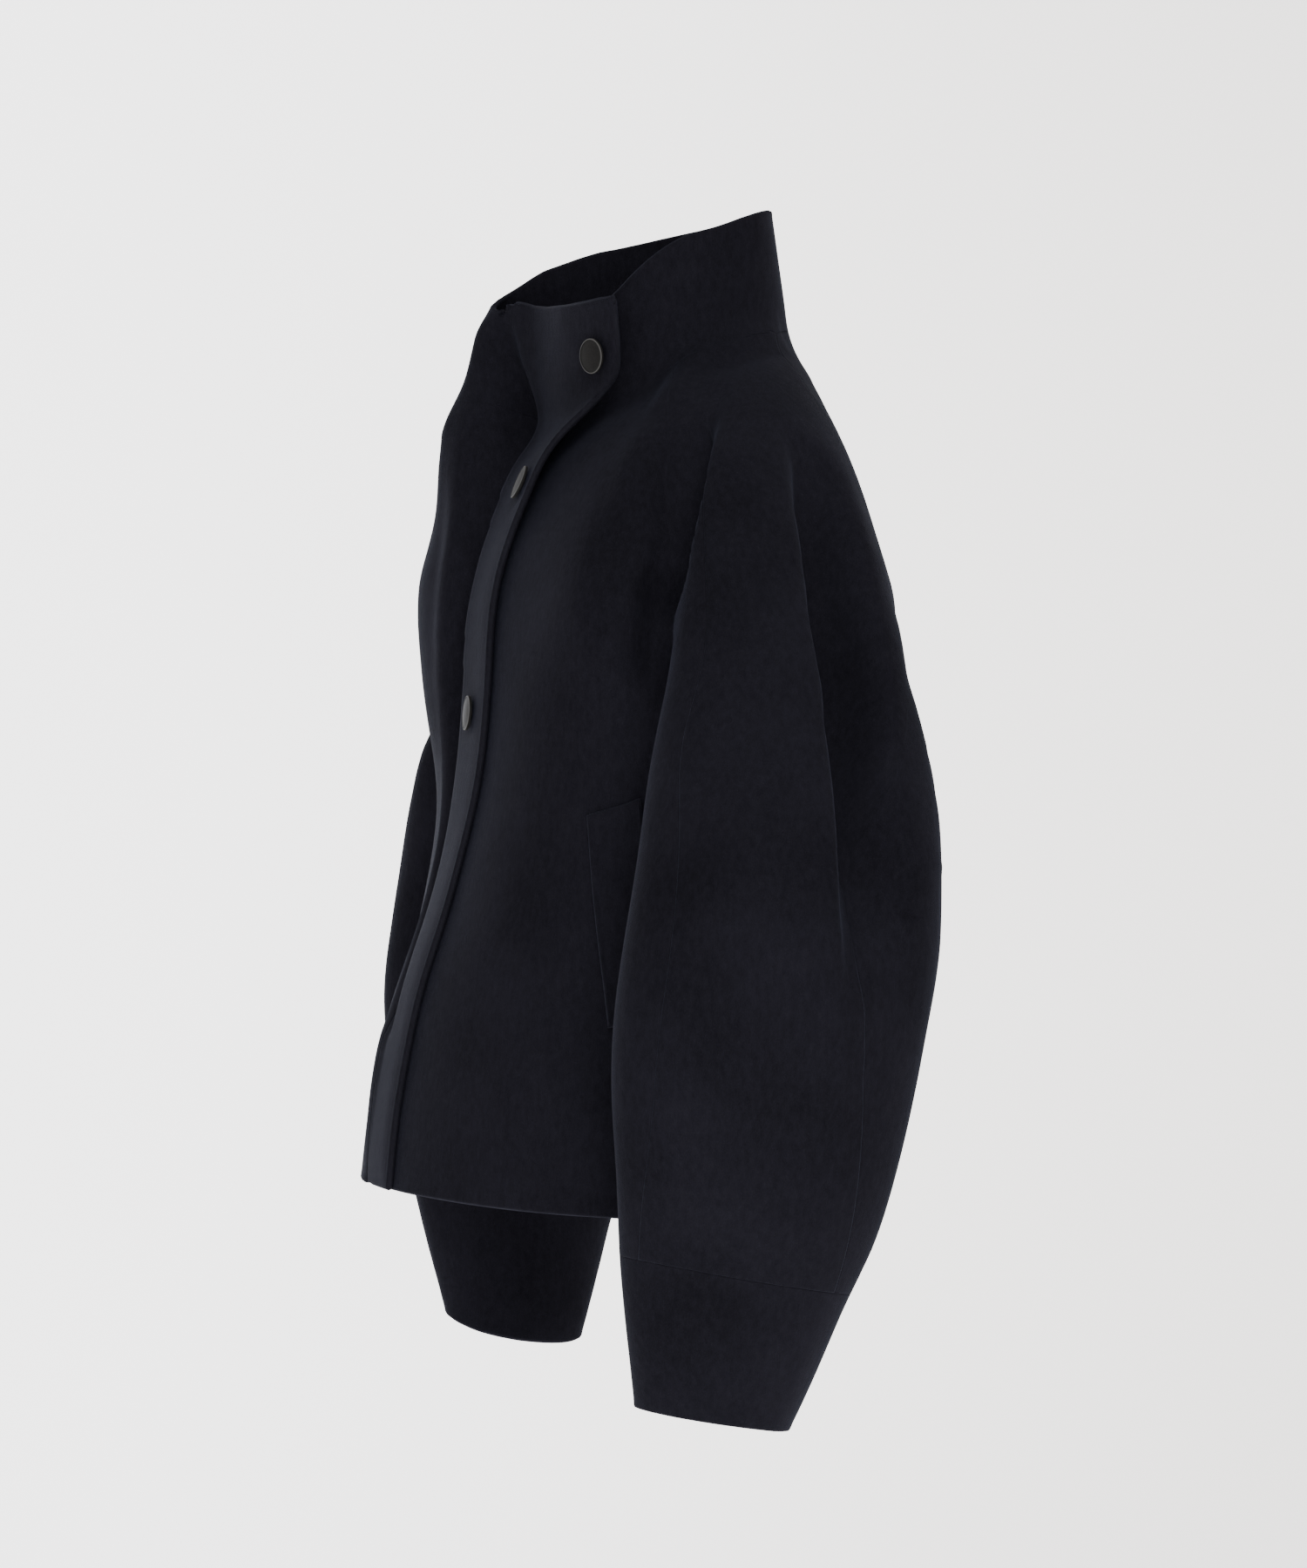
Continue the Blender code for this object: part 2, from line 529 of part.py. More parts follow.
def wall(quads, outer, inner):
    """Close a sheet of quads into a wall: outer and inner points, and triangles with the rim between."""
    used = sorted({number for quad in quads for number in quad})
    place = {number: i for i, number in enumerate(used)}
    quads = [tuple(place[number] for number in quad) for quad in quads]
    outer = outer[used]
    inner = inner[used]
    edges = {(quad[i], quad[(i + 1) % 4]) for quad in quads for i in range(4)}
    rim = [edge for edge in edges if edge[::-1] not in edges]
    rim.sort()

    # Draw the rim in from the seam by half the gap
    drawn = np.zeros_like(outer)
    middle = {}
    for quad in quads:
        centre = outer[list(quad)].mean(axis=0)
        for i in range(4):
            middle[(quad[i], quad[(i + 1) % 4])] = centre
    for a, b in rim:
        along = (outer[b] - outer[a]) / np.linalg.norm(outer[b] - outer[a])
        inwards = np.cross(along, outer[a] - inner[a] + outer[b] - inner[b])
        inwards /= np.linalg.norm(inwards) * np.copysign(1.0, inwards @ (middle[(a, b)] - outer[a]))
        drawn[a] += inwards
        drawn[b] += inwards
    on_rim = np.linalg.norm(drawn, axis=1) > 0
    drawn[on_rim] *= (RIM_DRAW / np.linalg.norm(drawn[on_rim], axis=1))[:, None]

    count = len(used)
    triangles = []
    for a, b, c, d in quads:
        triangles += [(a, b, c), (a, c, d)]
        triangles += [(count + c, count + b, count + a), (count + d, count + c, count + a)]
    for a, b in rim:
        if a < b:
            triangles += [(b, a, count + a), (b, count + a, count + b)]
        else:
            triangles += [(b, a, count + b), (a, count + a, count + b)]
    return np.concatenate([outer + drawn, inner + drawn]), triangles


def grid_quads(rows, lines):
    number = np.arange(rows * lines).reshape(rows, lines)
    return [(number[i, j], number[i + 1, j], number[i + 1, j + 1], number[i, j + 1])
            for i in range(rows - 1) for j in range(lines - 1)]


def band_grids(points, normals, top, body):
    """Inner and outer points of the band, from the groove to its free edge, collar top to hem."""
    lines = slice(0, 2 * BAND_SPANS + 1)
    numbers = np.concatenate([top[:, lines], body[1:, lines]])
    heights, lifts = zip(*BAND_LIFT)
    base = points[numbers]
    out = normals[numbers]
    drop = (base[0, :, 2] - BAND_TOP) / (base[0, :, 2] - base[1, :, 2])
    base[0] += (base[1] - base[0]) * np.clip(drop, 0.0, BAND_TOP_DRAW)[:, None]
    across = np.linspace(0.0, 1.0, 2 * BAND_SPANS + 1)
    lift = np.interp(base[:, :, 2], heights, lifts) * across ** 2
    inner = base + out * (SEAM_GAP + lift)[:, :, None]
    outer = base + out * (TOP_LAYER + lift)[:, :, None]
    return inner, outer


def sample(grid, row, line):
    """Point of a grid between its rows and lines."""
    i = min(int(row), grid.shape[0] - 2)
    j = min(int(line), grid.shape[1] - 2)
    s = row - i
    t = line - j
    return ((grid[i, j] * (1 - t) + grid[i, j + 1] * t) * (1 - s)
            + (grid[i + 1, j] * (1 - t) + grid[i + 1, j + 1] * t) * s)


def add_welt(name, points, normals, body, mirrored, material):
    grid = points[body]
    out = normals[body]
    if mirrored:
        grid = grid[:, ::-1]
        out = out[:, ::-1]
        lines_off = 2 * BAND_SPANS
    else:
        lines_off = 0
    corners = np.array(WELT_CORNERS) - (lines_off, 0)
    inner = []
    outer = []
    for v in np.linspace(0, 1, WELT_ROWS + 1):
        for u in np.linspace(0, 1, WELT_SPANS + 1):
            line, row = ((corners[0] * (1 - u) + corners[1] * u) * (1 - v)
                         + (corners[3] * (1 - u) + corners[2] * u) * v)
            base = sample(grid, row, line)
            normal = sample(out, row, line)
            inner.append(base + normal * WELT_CLEARANCE)
            outer.append(base + normal * (WELT_CLEARANCE + WELT_THICKNESS))
    quads = grid_quads(WELT_ROWS + 1, WELT_SPANS + 1)
    if mirrored:
        quads = [quad[::-1] for quad in quads]
    return add_object(name, *wall(quads, np.array(outer), np.array(inner)), material)


def add_snap(name, outer, height, from_free, material):
    """A domed cap on a short post, square to the band at a height and a distance from its free edge."""
    middle = outer[:, BAND_SPANS]
    row = np.interp(-height, -middle[:, 2], np.arange(len(middle)))
    lines = np.linspace(0, outer.shape[1] - 1, SNAP_SAMPLES)
    across = np.array([sample(outer, row, line) for line in lines])
    from_edge = np.concatenate([[0.0], np.cumsum(np.linalg.norm(np.diff(across[::-1], axis=0), axis=1))])
    line = np.interp(from_free, from_edge, lines[::-1])
    seat = sample(outer, row, line)
    step = 0.5
    down = sample(outer, row + step, line) - sample(outer, row - step, line)
    over = sample(outer, row, line + step) - sample(outer, row, line - step)
    axis = np.cross(down, over)
    axis /= np.linalg.norm(axis)
    near = outer.reshape(-1, 3) - seat
    high = near @ axis
    flat = np.linalg.norm(near - high[:, None] * axis, axis=1)
    rise = max(0.0, high[flat < SNAP_RADIUS].max(initial=0.0))

    profile = [(SNAP_POST_RADIUS, 0.0), (SNAP_POST_RADIUS, SNAP_POST_HEIGHT)]
    profile += [(wide * SNAP_RADIUS, SNAP_POST_HEIGHT + tall * SNAP_HEIGHT) for wide, tall in SNAP_DOME]
    mesh = bmesh.new()
    rings = []
    for radius, z in profile:
        turn = [2 * np.pi * k / SNAP_SIDES for k in range(SNAP_SIDES)]
        rings.append([mesh.verts.new((radius * np.cos(a), radius * np.sin(a), z)) for a in turn])
    mesh.faces.new(rings[0][::-1])
    for low, high_ring in zip(rings, rings[1:]):
        for k in range(SNAP_SIDES):
            after = (k + 1) % SNAP_SIDES
            mesh.faces.new((low[k], low[after], high_ring[after], high_ring[k]))
    mesh.faces.new(rings[-1])
    turn = Vector((0, 0, 1)).rotation_difference(Vector(axis)).to_matrix().to_4x4()
    place = Matrix.Translation(Vector(seat + axis * (SEAM_GAP + rise))) @ turn
    data = bpy.data.meshes.new(name)
    mesh.to_mesh(data)
    mesh.free()
    data.materials.append(material)
    data.shade_smooth()
    data.set_sharp_from_angle(angle=np.radians(SHARP_ANGLE))
    item = bpy.data.objects.new(name, data)
    item.matrix_world = place
    bpy.context.scene.collection.objects.link(item)
    return item


def main():
    for item in list(bpy.data.objects):
        bpy.data.objects.remove(item)
    wool = principled("wool", WOOL_COLOUR, 0.95, 0.0)
    snap = principled("snap", SNAP_COLOUR, 0.35, 0.6)
    panels, points, normals, top, body = build_shell()
    inner = points - normals * CLOTH_THICKNESS
    for name, quads in panels.items():
        add_object(name, *wall(quads, points, inner), wool)
    band_inner, band_outer = band_grids(points, normals, top, body)
    shape = band_outer.shape
    quads = grid_quads(shape[0], shape[1])
    add_object("front_band", *wall(quads, band_outer.reshape(-1, 3), band_inner.reshape(-1, 3)), wool)
    add_welt("welt_left", points, normals, body, False, wool)
    add_welt("welt_right", points, normals, body, True, wool)
    for i, place in enumerate(SNAPS):
        at = dict(zip(SNAP_COLUMNS, place))
        add_snap("snap_%d" % (i + 1), band_outer, at["height"], at["from_edge"], snap)


main()
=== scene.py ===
import bpy
import bmesh
import math
import numpy as np
from mathutils import Matrix, Vector, kdtree, noise


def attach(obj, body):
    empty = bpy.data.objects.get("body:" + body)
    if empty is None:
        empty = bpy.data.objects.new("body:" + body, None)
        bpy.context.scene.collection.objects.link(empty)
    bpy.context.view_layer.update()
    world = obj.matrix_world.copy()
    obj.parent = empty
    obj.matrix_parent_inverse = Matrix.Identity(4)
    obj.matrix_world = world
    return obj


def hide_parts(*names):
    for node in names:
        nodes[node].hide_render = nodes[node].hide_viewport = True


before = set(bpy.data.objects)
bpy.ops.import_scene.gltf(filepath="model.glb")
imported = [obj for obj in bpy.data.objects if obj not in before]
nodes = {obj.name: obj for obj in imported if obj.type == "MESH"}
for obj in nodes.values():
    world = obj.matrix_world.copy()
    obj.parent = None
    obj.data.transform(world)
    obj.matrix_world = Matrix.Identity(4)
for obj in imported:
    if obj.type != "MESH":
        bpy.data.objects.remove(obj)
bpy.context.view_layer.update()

scene = bpy.context.scene
bpy.ops.object.select_all(action="DESELECT")

# panels of the coat: wall, cut width and length, flat area, and what each hangs from
panels = {
    "collar": {"wall": 0.003, "cut": (0.615, 0.095), "area": 0.050, "on": ["back", "front_left", "front_right"]},
    "front_left": {"wall": 0.003, "cut": (0.335, 0.580), "area": 0.168, "on": ["collar", "back"]},
    "front_right": {"wall": 0.003, "cut": (0.300, 0.580), "area": 0.128, "on": ["collar", "back"]},
    "back": {"wall": 0.003, "cut": (0.600, 0.600), "area": 0.285, "on": ["collar"]},
    "sleeve_outer_left": {"wall": 0.003, "cut": (0.190, 0.680), "area": 0.108, "on": ["collar", "back"]},
    "sleeve_outer_right": {"wall": 0.003, "cut": (0.195, 0.680), "area": 0.118, "on": ["collar", "back"]},
    "sleeve_under_left": {"wall": 0.003, "cut": (0.430, 0.580), "area": 0.152, "on": ["front_left", "back"]},
    "sleeve_under_right": {"wall": 0.003, "cut": (0.430, 0.580), "area": 0.146, "on": ["front_right", "back"]},
    "cuff_left": {"wall": 0.003, "cut": (0.410, 0.105), "area": 0.0345, "on": ["sleeve_outer_left"]},
    "cuff_right": {"wall": 0.003, "cut": (0.410, 0.105), "area": 0.0345, "on": ["sleeve_outer_right"]},
    "front_band": {"wall": 0.0045, "cut": (0.150, 0.660), "area": 0.062, "on": ["collar", "front_right"]},
}
names = list(panels)


# the solids' outer walls, as quads again, are sewn into one smooth surface
sewing = {"weld": 0.0007, "levels": 2, "samePoint": 1e-5, "wallFit": 4e-5}


def outerWall(node, wall):
    bm = bmesh.new()
    bm.from_mesh(nodes[node].data)
    bmesh.ops.remove_doubles(bm, verts=bm.verts, dist=sewing["samePoint"])
    rim = [f for f in bm.faces if any(abs(e.calc_length() - wall) < sewing["wallFit"] for e in f.edges)]
    bmesh.ops.delete(bm, geom=rim, context="FACES")
    seen, sheets = set(), []
    for first in bm.faces:
        if first in seen:
            continue
        seen.add(first)
        stack, sheet = [first], []
        while stack:
            face = stack.pop()
            sheet.append(face)
            for edge in face.edges:
                for other in edge.link_faces:
                    if other not in seen:
                        seen.add(other)
                        stack.append(other)
        sheets.append(sheet)
    sheets.sort(key=lambda sheet: sum(f.calc_area() for f in sheet))
    if node == "front_band":  # nearly flat, so it goes by its facing
        sheets.sort(key=lambda sheet: -sum(f.normal.y * f.calc_area() for f in sheet))
    bmesh.ops.delete(bm, geom=[f for sheet in sheets[:-1] for f in sheet], context="FACES")
    longest = {f: max(f.edges, key=lambda e: e.calc_length()) for f in bm.faces}
    inside = [e for e in bm.edges if len(e.link_faces) == 2]
    diagonals = [e for e in inside if all(longest[f] is e for f in e.link_faces)]
    bmesh.ops.dissolve_edges(bm, edges=diagonals, use_verts=False)
    left = [f for f in bm.faces if len(f.verts) == 3]
    bmesh.ops.join_triangles(bm, faces=left, angle_face_threshold=math.pi,
                             angle_shape_threshold=math.pi)
    bm.verts.index_update()
    points = [v.co[:] for v in bm.verts]
    faces = [[v.index for v in f.verts] for f in bm.faces]
    bm.free()
    return points, faces


def smoothSurface(name, mesh, levels):
    surface = bpy.data.objects.new(name, mesh)
    scene.collection.objects.link(surface)
    bpy.context.view_layer.objects.active = surface
    smooth = surface.modifiers.new("smooth", "SUBSURF")
    smooth.levels = smooth.render_levels = levels
    smooth.boundary_smooth = "PRESERVE_CORNERS"
    bpy.ops.object.modifier_apply(modifier="smooth")
    return surface


def sewSurface():
    points, faces, owner = [], [], []
    for index, node in enumerate(names):
        p, f = outerWall(node, panels[node]["wall"])
        faces += [[i + len(points) for i in face] for face in f]
        points += p
        owner += [index] * len(f)
    mesh = bpy.data.meshes.new("coatSurface")
    mesh.from_pydata(points, [], faces)
    mesh.attributes.new("panel", "INT", "FACE").data.foreach_set("value", owner)
    bm = bmesh.new()
    bm.from_mesh(mesh)
    bmesh.ops.remove_doubles(bm, verts=bm.verts, dist=sewing["weld"])
    bm.to_mesh(mesh)
    bm.free()
    return smoothSurface("coatSurface", mesh, sewing["levels"])


surface = sewSurface()
mesh = surface.data
count = len(mesh.vertices)
points = np.zeros(count * 3)
mesh.vertices.foreach_get("co", points)
points = points.reshape(-1, 3)
quads = [tuple(f.vertices) for f in mesh.polygons]
owner = [mesh.attributes["panel"].data[i].value for i in range(len(quads))]
panelPoints = {name: np.unique([i for quad, k in zip(quads, owner) if names[k] == name for i in quad])
               for name in names}
asPacked = points.copy()
print("surface", count, "points", len(quads), "faces", "not quads", sum(len(q) != 4 for q in quads))


def surfaceNormals():
    mesh.vertices.foreach_set("co", points.ravel())
    mesh.update()
    out = np.zeros(count * 3)
    mesh.vertex_normals.foreach_get("vector", out)
    return out.reshape(-1, 3)


# places where the sewn surface is eased, on both sides where paired, and sleeve seams that are drawn smooth
eased = [
    {"middle": (0.310, 0.070, -0.265), "reach": 0.070, "rounds": 30, "paired": True},
    {"middle": (0.190, -0.040, -0.160), "reach": 0.060, "rounds": 90, "paired": True},
    {"middle": (-0.090, -0.085, -0.008), "reach": 0.070, "rounds": 150, "paired": False},
]
easePull = 0.5
sleeveSeams = {"pairs": (("sleeve_outer_left", "sleeve_under_left"),
                         ("sleeve_outer_right", "sleeve_under_right")),
               "rounds": 160, "reach": 0.045}
# small moves of a panel's edge: the flap is cut level, and the collar beneath it lies a little lower
moved = [
    {"panel": "front_band", "middle": (0.075, -0.070, 0.037), "reach": 0.100, "drop": 0.004},
    {"panel": "front_band", "middle": (-0.063, -0.072, 0.037), "reach": 0.060, "drop": -0.005},
    {"panel": "collar", "middle": (-0.090, -0.070, 0.058), "reach": 0.042, "drop": 0.011},
    {"panel": "collar", "middle": (-0.097, -0.040, 0.075), "reach": 0.050, "drop": 0.006},
    {"panel": "front_band", "middle": (-0.060, -0.070, 0.028), "reach": 0.028, "drop": -0.008},
    {"panel": "collar", "middle": (-0.066, -0.073, 0.030), "reach": 0.022, "drop": -0.006},
]
underlap = {"from": -0.052, "to": 0.094, "fade": 0.014, "drop": 0.010, "height": 0.04,
            "behind": -0.025, "ahead": -0.045}
# the flap's corner, rims that are evened out, the flap's lifted end and the band's edge pressed to the front
flapCorner = {"middle": (0.076, -0.045, 0.034), "reach": 0.040, "rounds": 40}
flapRim = {"panel": "front_band", "middle": (0.076, -0.045, 0.034), "reach": 0.040, "rounds": 5}
collarRim = {"panel": "collar", "middle": (-0.072, -0.072, 0.032), "reach": 0.032, "rounds": 30}
rimCorner = 0.5
flapEnd = {"from": 0.005, "to": 0.080, "lift": 0.009, "way": (0.95, -0.30, 0.0),
           "below": -0.10, "full": -0.03}
bandEdge = {"press": 0.0011, "width": 0.020, "below": -0.10, "full": -0.16, "top": 0.02}
edges = np.array([e.vertices[:] for e in mesh.edges])
edgeOwners = {}
for quad, panel in zip(quads, owner):
    for k in range(len(quad)):
        edgeOwners.setdefault(tuple(sorted((quad[k], quad[k - 1]))), []).append(names[panel])
onEdge = np.zeros(count, bool)
for edge, both in edgeOwners.items():
    if len(both) == 1:
        onEdge[list(edge)] = True


def sides(item):
    return (1, -1) if item["paired"] else (1,)


def relax(inner, pull, rounds):
    mine = edges[np.any(np.isin(edges, inner), axis=1)]
    pairs = np.concatenate([mine, mine[:, ::-1]])
    pairs = pairs[np.isin(pairs[:, 0], inner)]
    shares = np.bincount(pairs[:, 0], minlength=count)[inner]
    for _ in range(rounds):
        sums = [np.bincount(pairs[:, 0], points[pairs[:, 1], k], count)[inner] for k in range(3)]
        points[inner] += (np.stack(sums, axis=1) / shares[:, None] - points[inner]) * pull[:, None]


def easeSurface(spot):
    for side in sides(spot):
        middle = np.multiply(spot["middle"], (side, 1, 1))
        away = np.linalg.norm(points - middle, axis=1) / spot["reach"]
        inner = np.where(away < 1)[0]
        relax(inner, (1 - away[inner] ** 2) ** 2 * easePull, spot["rounds"])


def linkedPoints(wanted):
    links = {}
    for (a, b), both in edgeOwners.items():
        if wanted(a, b, both):
            links.setdefault(a, []).append(b)
            links.setdefault(b, []).append(a)
    return links


def seamChain(pair, side):
    links = linkedPoints(lambda a, b, both: set(both) == set(pair)
                         and (points[a][1] + points[b][1]) * side > 0)
    chain = [max((i for i in links if len(links[i]) == 1), key=lambda i: points[i][2])]
    while True:
        ahead = [i for i in links[chain[-1]] if i not in chain[-2:]]
        if not ahead:
            return chain
        chain.append(ahead[0])


def straightenSeam(pair, side):
    chain = seamChain(pair, side)
    line = points[chain].copy()
    for _ in range(sleeveSeams["rounds"]):
        line[1:-1] += easePull * (0.5 * (line[:-2] + line[2:]) - line[1:-1])
    shift = line - points[chain]
    reach = sleeveSeams["reach"]
    low, high = line.min(axis=0) - reach, line.max(axis=0) + reach
    near = np.where(np.all((points > low) & (points < high), axis=1))[0]
    gaps = np.linalg.norm(points[near][:, None] - points[chain][None], axis=2)
    fall = np.maximum(1 - (gaps.min(axis=1) / reach) ** 2, 0) ** 2
    points[near] += shift[gaps.argmin(axis=1)] * fall[:, None]


def moveEdge(move):
    mine = panelPoints[move["panel"]]
    away = np.linalg.norm(points[mine] - move["middle"], axis=1) / move["reach"]
    points[mine, 2] -= np.maximum(1 - away ** 2, 0) ** 2 * move["drop"]


def lowerUnderlap():
    mine = panelPoints["collar"]
    mine = mine[points[mine, 1] < 0]
    x, y, z = points[mine].T
    share = np.clip(np.minimum(x - underlap["from"], underlap["to"] - x) / underlap["fade"], 0, 1)
    share = np.where(x < 0, x > underlap["from"], share)
    share = share * np.clip((underlap["behind"] - y) / (underlap["behind"] - underlap["ahead"]), 0, 1)
    points[mine, 2] -= underlap["drop"] * share * np.clip(z / underlap["height"], 0, 1)


def openCorner():
    mine = panelPoints["front_band"]
    away = np.linalg.norm(points[mine] - flapCorner["middle"], axis=1) / flapCorner["reach"]
    inner = mine[(away < 1) & ~onEdge[mine]]
    relax(inner, np.full(len(inner), easePull), flapCorner["rounds"])


def evenRim(stretch):
    links = linkedPoints(lambda a, b, both: both == [stretch["panel"]])
    rim = [i for i in links if len(links[i]) == 2]
    rim = [i for i in rim if np.linalg.norm(points[i] - stretch["middle"]) < stretch["reach"]]
    before, after = (np.array([links[i][k] for i in rim]) for k in (0, 1))
    back, ahead = points[rim] - points[before], points[after] - points[rim]
    lengths = np.linalg.norm(back, axis=1) * np.linalg.norm(ahead, axis=1)
    turn = (back * ahead).sum(axis=1) / lengths
    pull = np.where(turn > rimCorner, easePull, 0.0)[:, None]  # corners stay
    for _ in range(stretch["rounds"]):
        points[rim] += pull * (0.5 * (points[before] + points[after]) - points[rim])


def liftFlap():
    mine = panelPoints["front_band"]
    x, _, z = points[mine].T
    share = np.clip((x - flapEnd["from"]) / (flapEnd["to"] - flapEnd["from"]), 0, 1) ** 2
    share *= np.clip((z - flapEnd["below"]) / (flapEnd["full"] - flapEnd["below"]), 0, 1)
    points[mine] += np.array(flapEnd["way"]) * (flapEnd["lift"] * share)[:, None]


def settleBand():
    mine = panelPoints["front_band"]
    z = points[mine, 2]
    rim = mine[onEdge[mine] & (z < bandEdge["top"])]
    gaps = np.linalg.norm(points[mine][:, None] - points[rim][None], axis=2).min(axis=1)
    share = np.clip(1 - gaps / bandEdge["width"], 0, 1) ** 2
    share *= np.clip((bandEdge["below"] - z) / (bandEdge["below"] - bandEdge["full"]), 0, 1)
    points[mine] -= surfaceNormals()[mine] * (bandEdge["press"] * share)[:, None]


for spot in eased:
    easeSurface(spot)
for move in moved:
    moveEdge(move)
lowerUnderlap()
evenRim(flapRim)
evenRim(collarRim)
openCorner()
liftFlap()
settleBand()
for pair in sleeveSeams["pairs"]:
    for side in (1, -1):
        straightenSeam(pair, side)
print("eased and straightened")

# folds: the line each follows from its top, its width ahead of and behind that line, and its depth
folds = [
    {"name": "fullness of front", "ahead": 0.034, "behind": 0.014, "depth": 0.007, "paired": True,
     "line": [(0.130, -0.022, -0.045), (0.139, -0.026, -0.060), (0.158, -0.035, -0.095), (0.172, -0.042, -0.130),
              (0.191, -0.050, -0.171), (0.196, -0.054, -0.211), (0.190, -0.055, -0.250)]},
    {"name": "front of armhole", "ahead": 0.027, "behind": 0.014, "depth": -0.046, "paired": True,
     "line": [(0.154, 0.002, -0.043), (0.175, -0.010, -0.067), (0.194, -0.022, -0.101), (0.203, -0.029, -0.139),
              (0.199, -0.034, -0.171), (0.200, -0.037, -0.194), (0.195, -0.043, -0.228)]},
    {"name": "dimple of shoulder", "ahead": 0.016, "behind": 0.016, "depth": -0.005, "paired": True,
     "line": [(0.128, 0.020, -0.021), (0.159, 0.006, -0.043), (0.179, -0.006, -0.065)]},
    {"name": "back of sleeve", "ahead": 0.014, "behind": 0.040, "depth": -0.042, "paired": True,
     "line": [(0.184, 0.063, -0.064), (0.213, 0.057, -0.103), (0.240, 0.055, -0.144), (0.265, 0.052, -0.184),
              (0.294, 0.051, -0.235), (0.326, 0.047, -0.285), (0.345, 0.044, -0.323), (0.359, 0.041, -0.366),
              (0.364, 0.038, -0.426)]},
    {"name": "front edge of sleeve", "ahead": 0.012, "behind": 0.022, "depth": 0.0015, "paired": True,
     "line": [(0.165, 0.002, -0.050), (0.179, -0.002, -0.062), (0.197, -0.011, -0.086), (0.218, -0.023, -0.121),
              (0.236, -0.035, -0.156), (0.246, -0.043, -0.190), (0.265, -0.054, -0.229)]},
    {"name": "back edge of sleeve", "ahead": 0.024, "behind": 0.010, "depth": 0.002, "paired": True,
     "line": [(0.184, 0.053, -0.064), (0.202, 0.052, -0.085), (0.235, 0.050, -0.132), (0.261, 0.047, -0.173),
              (0.292, 0.043, -0.223), (0.319, 0.042, -0.268), (0.342, 0.037, -0.312), (0.357, 0.034, -0.360)]},
    {"name": "roll under collar", "ahead": 0.018, "behind": 0.022, "depth": 0.009, "paired": True,
     "line": [(0.130, -0.020, -0.047), (0.116, -0.006, -0.030), (0.094, 0.015, -0.011), (0.086, 0.036, 0.003),
              (0.080, 0.060, 0.010), (0.059, 0.089, 0.016)]},
    {"name": "lower sleeve", "ahead": 0.020, "behind": 0.026, "depth": -0.003, "paired": True,
     "line": [(0.367, -0.016, -0.414), (0.366, -0.013, -0.452), (0.360, -0.010, -0.490), (0.350, -0.005, -0.534)]},
    {"name": "lower sleeve ridge", "ahead": 0.020, "behind": 0.020, "depth": 0.002, "paired": True,
     "line": [(0.359, -0.035, -0.479), (0.349, -0.034, -0.523), (0.338, -0.034, -0.561)]},
    {"name": "groove beside band", "ahead": 0.024, "behind": 0.016, "depth": -0.030, "paired": False,
     "line": [(-0.065, -0.068, 0.032), (-0.065, -0.069, 0.009), (-0.052, -0.061, -0.050), (-0.049, -0.085, -0.092),
              (-0.037, -0.100, -0.138), (-0.035, -0.111, -0.201), (-0.035, -0.113, -0.250), (-0.032, -0.122, -0.306),
              (-0.029, -0.135, -0.360), (-0.029, -0.151, -0.410), (-0.027, -0.166, -0.462)]},
    {"name": "lip beside band", "ahead": 0.024, "behind": 0.015, "depth": 0.008, "paired": False,
     "line": [(-0.078, -0.080, 0.010), (-0.084, -0.089, -0.034), (-0.075, -0.101, -0.084), (-0.062, -0.108, -0.133),
              (-0.055, -0.112, -0.190), (-0.050, -0.114, -0.260), (-0.046, -0.122, -0.306),
              (-0.042, -0.134, -0.360), (-0.041, -0.150, -0.410), (-0.039, -0.165, -0.462), (-0.036, -0.174, -0.515),
              (-0.034, -0.177, -0.580)]},
    {"name": "slack of back", "ahead": 0.030, "behind": 0.022, "depth": -0.006, "paired": True,
     "line": [(0.165, 0.115, -0.190), (0.160, 0.128, -0.270), (0.150, 0.135, -0.360)]},
    {"name": "flare of back", "ahead": 0.045, "behind": 0.045, "depth": 0.005, "paired": True,
     "line": [(0.085, 0.141, -0.330), (0.095, 0.143, -0.430), (0.105, 0.142, -0.550)]},
]
foldShape = {"steps": 16, "soft": 3, "taper": 0.7, "facing": 0.1}
# places eased again once the folds are in
settled = [
    {"middle": (0.231, -0.038, -0.168), "reach": 0.034, "rounds": 14, "paired": True},
    {"middle": (0.092, 0.038, 0.010), "reach": 0.026, "rounds": 24, "paired": True},
]


def foldLine(corners):
    corners = np.array(corners)
    padded = np.concatenate([[2 * corners[0] - corners[1]], corners, [2 * corners[-1] - corners[-2]]])
    spots = []
    for a, b, c, d in zip(padded, padded[1:], padded[2:], padded[3:]):
        for t in np.arange(foldShape["steps"]) / foldShape["steps"]:
            spots.append(0.5 * (2 * b + (c - a) * t + (2 * a - 5 * b + 4 * c - d) * t ** 2
                                + (3 * b - a - 3 * c + d) * t ** 3))
    return np.array(spots + [corners[-1]])


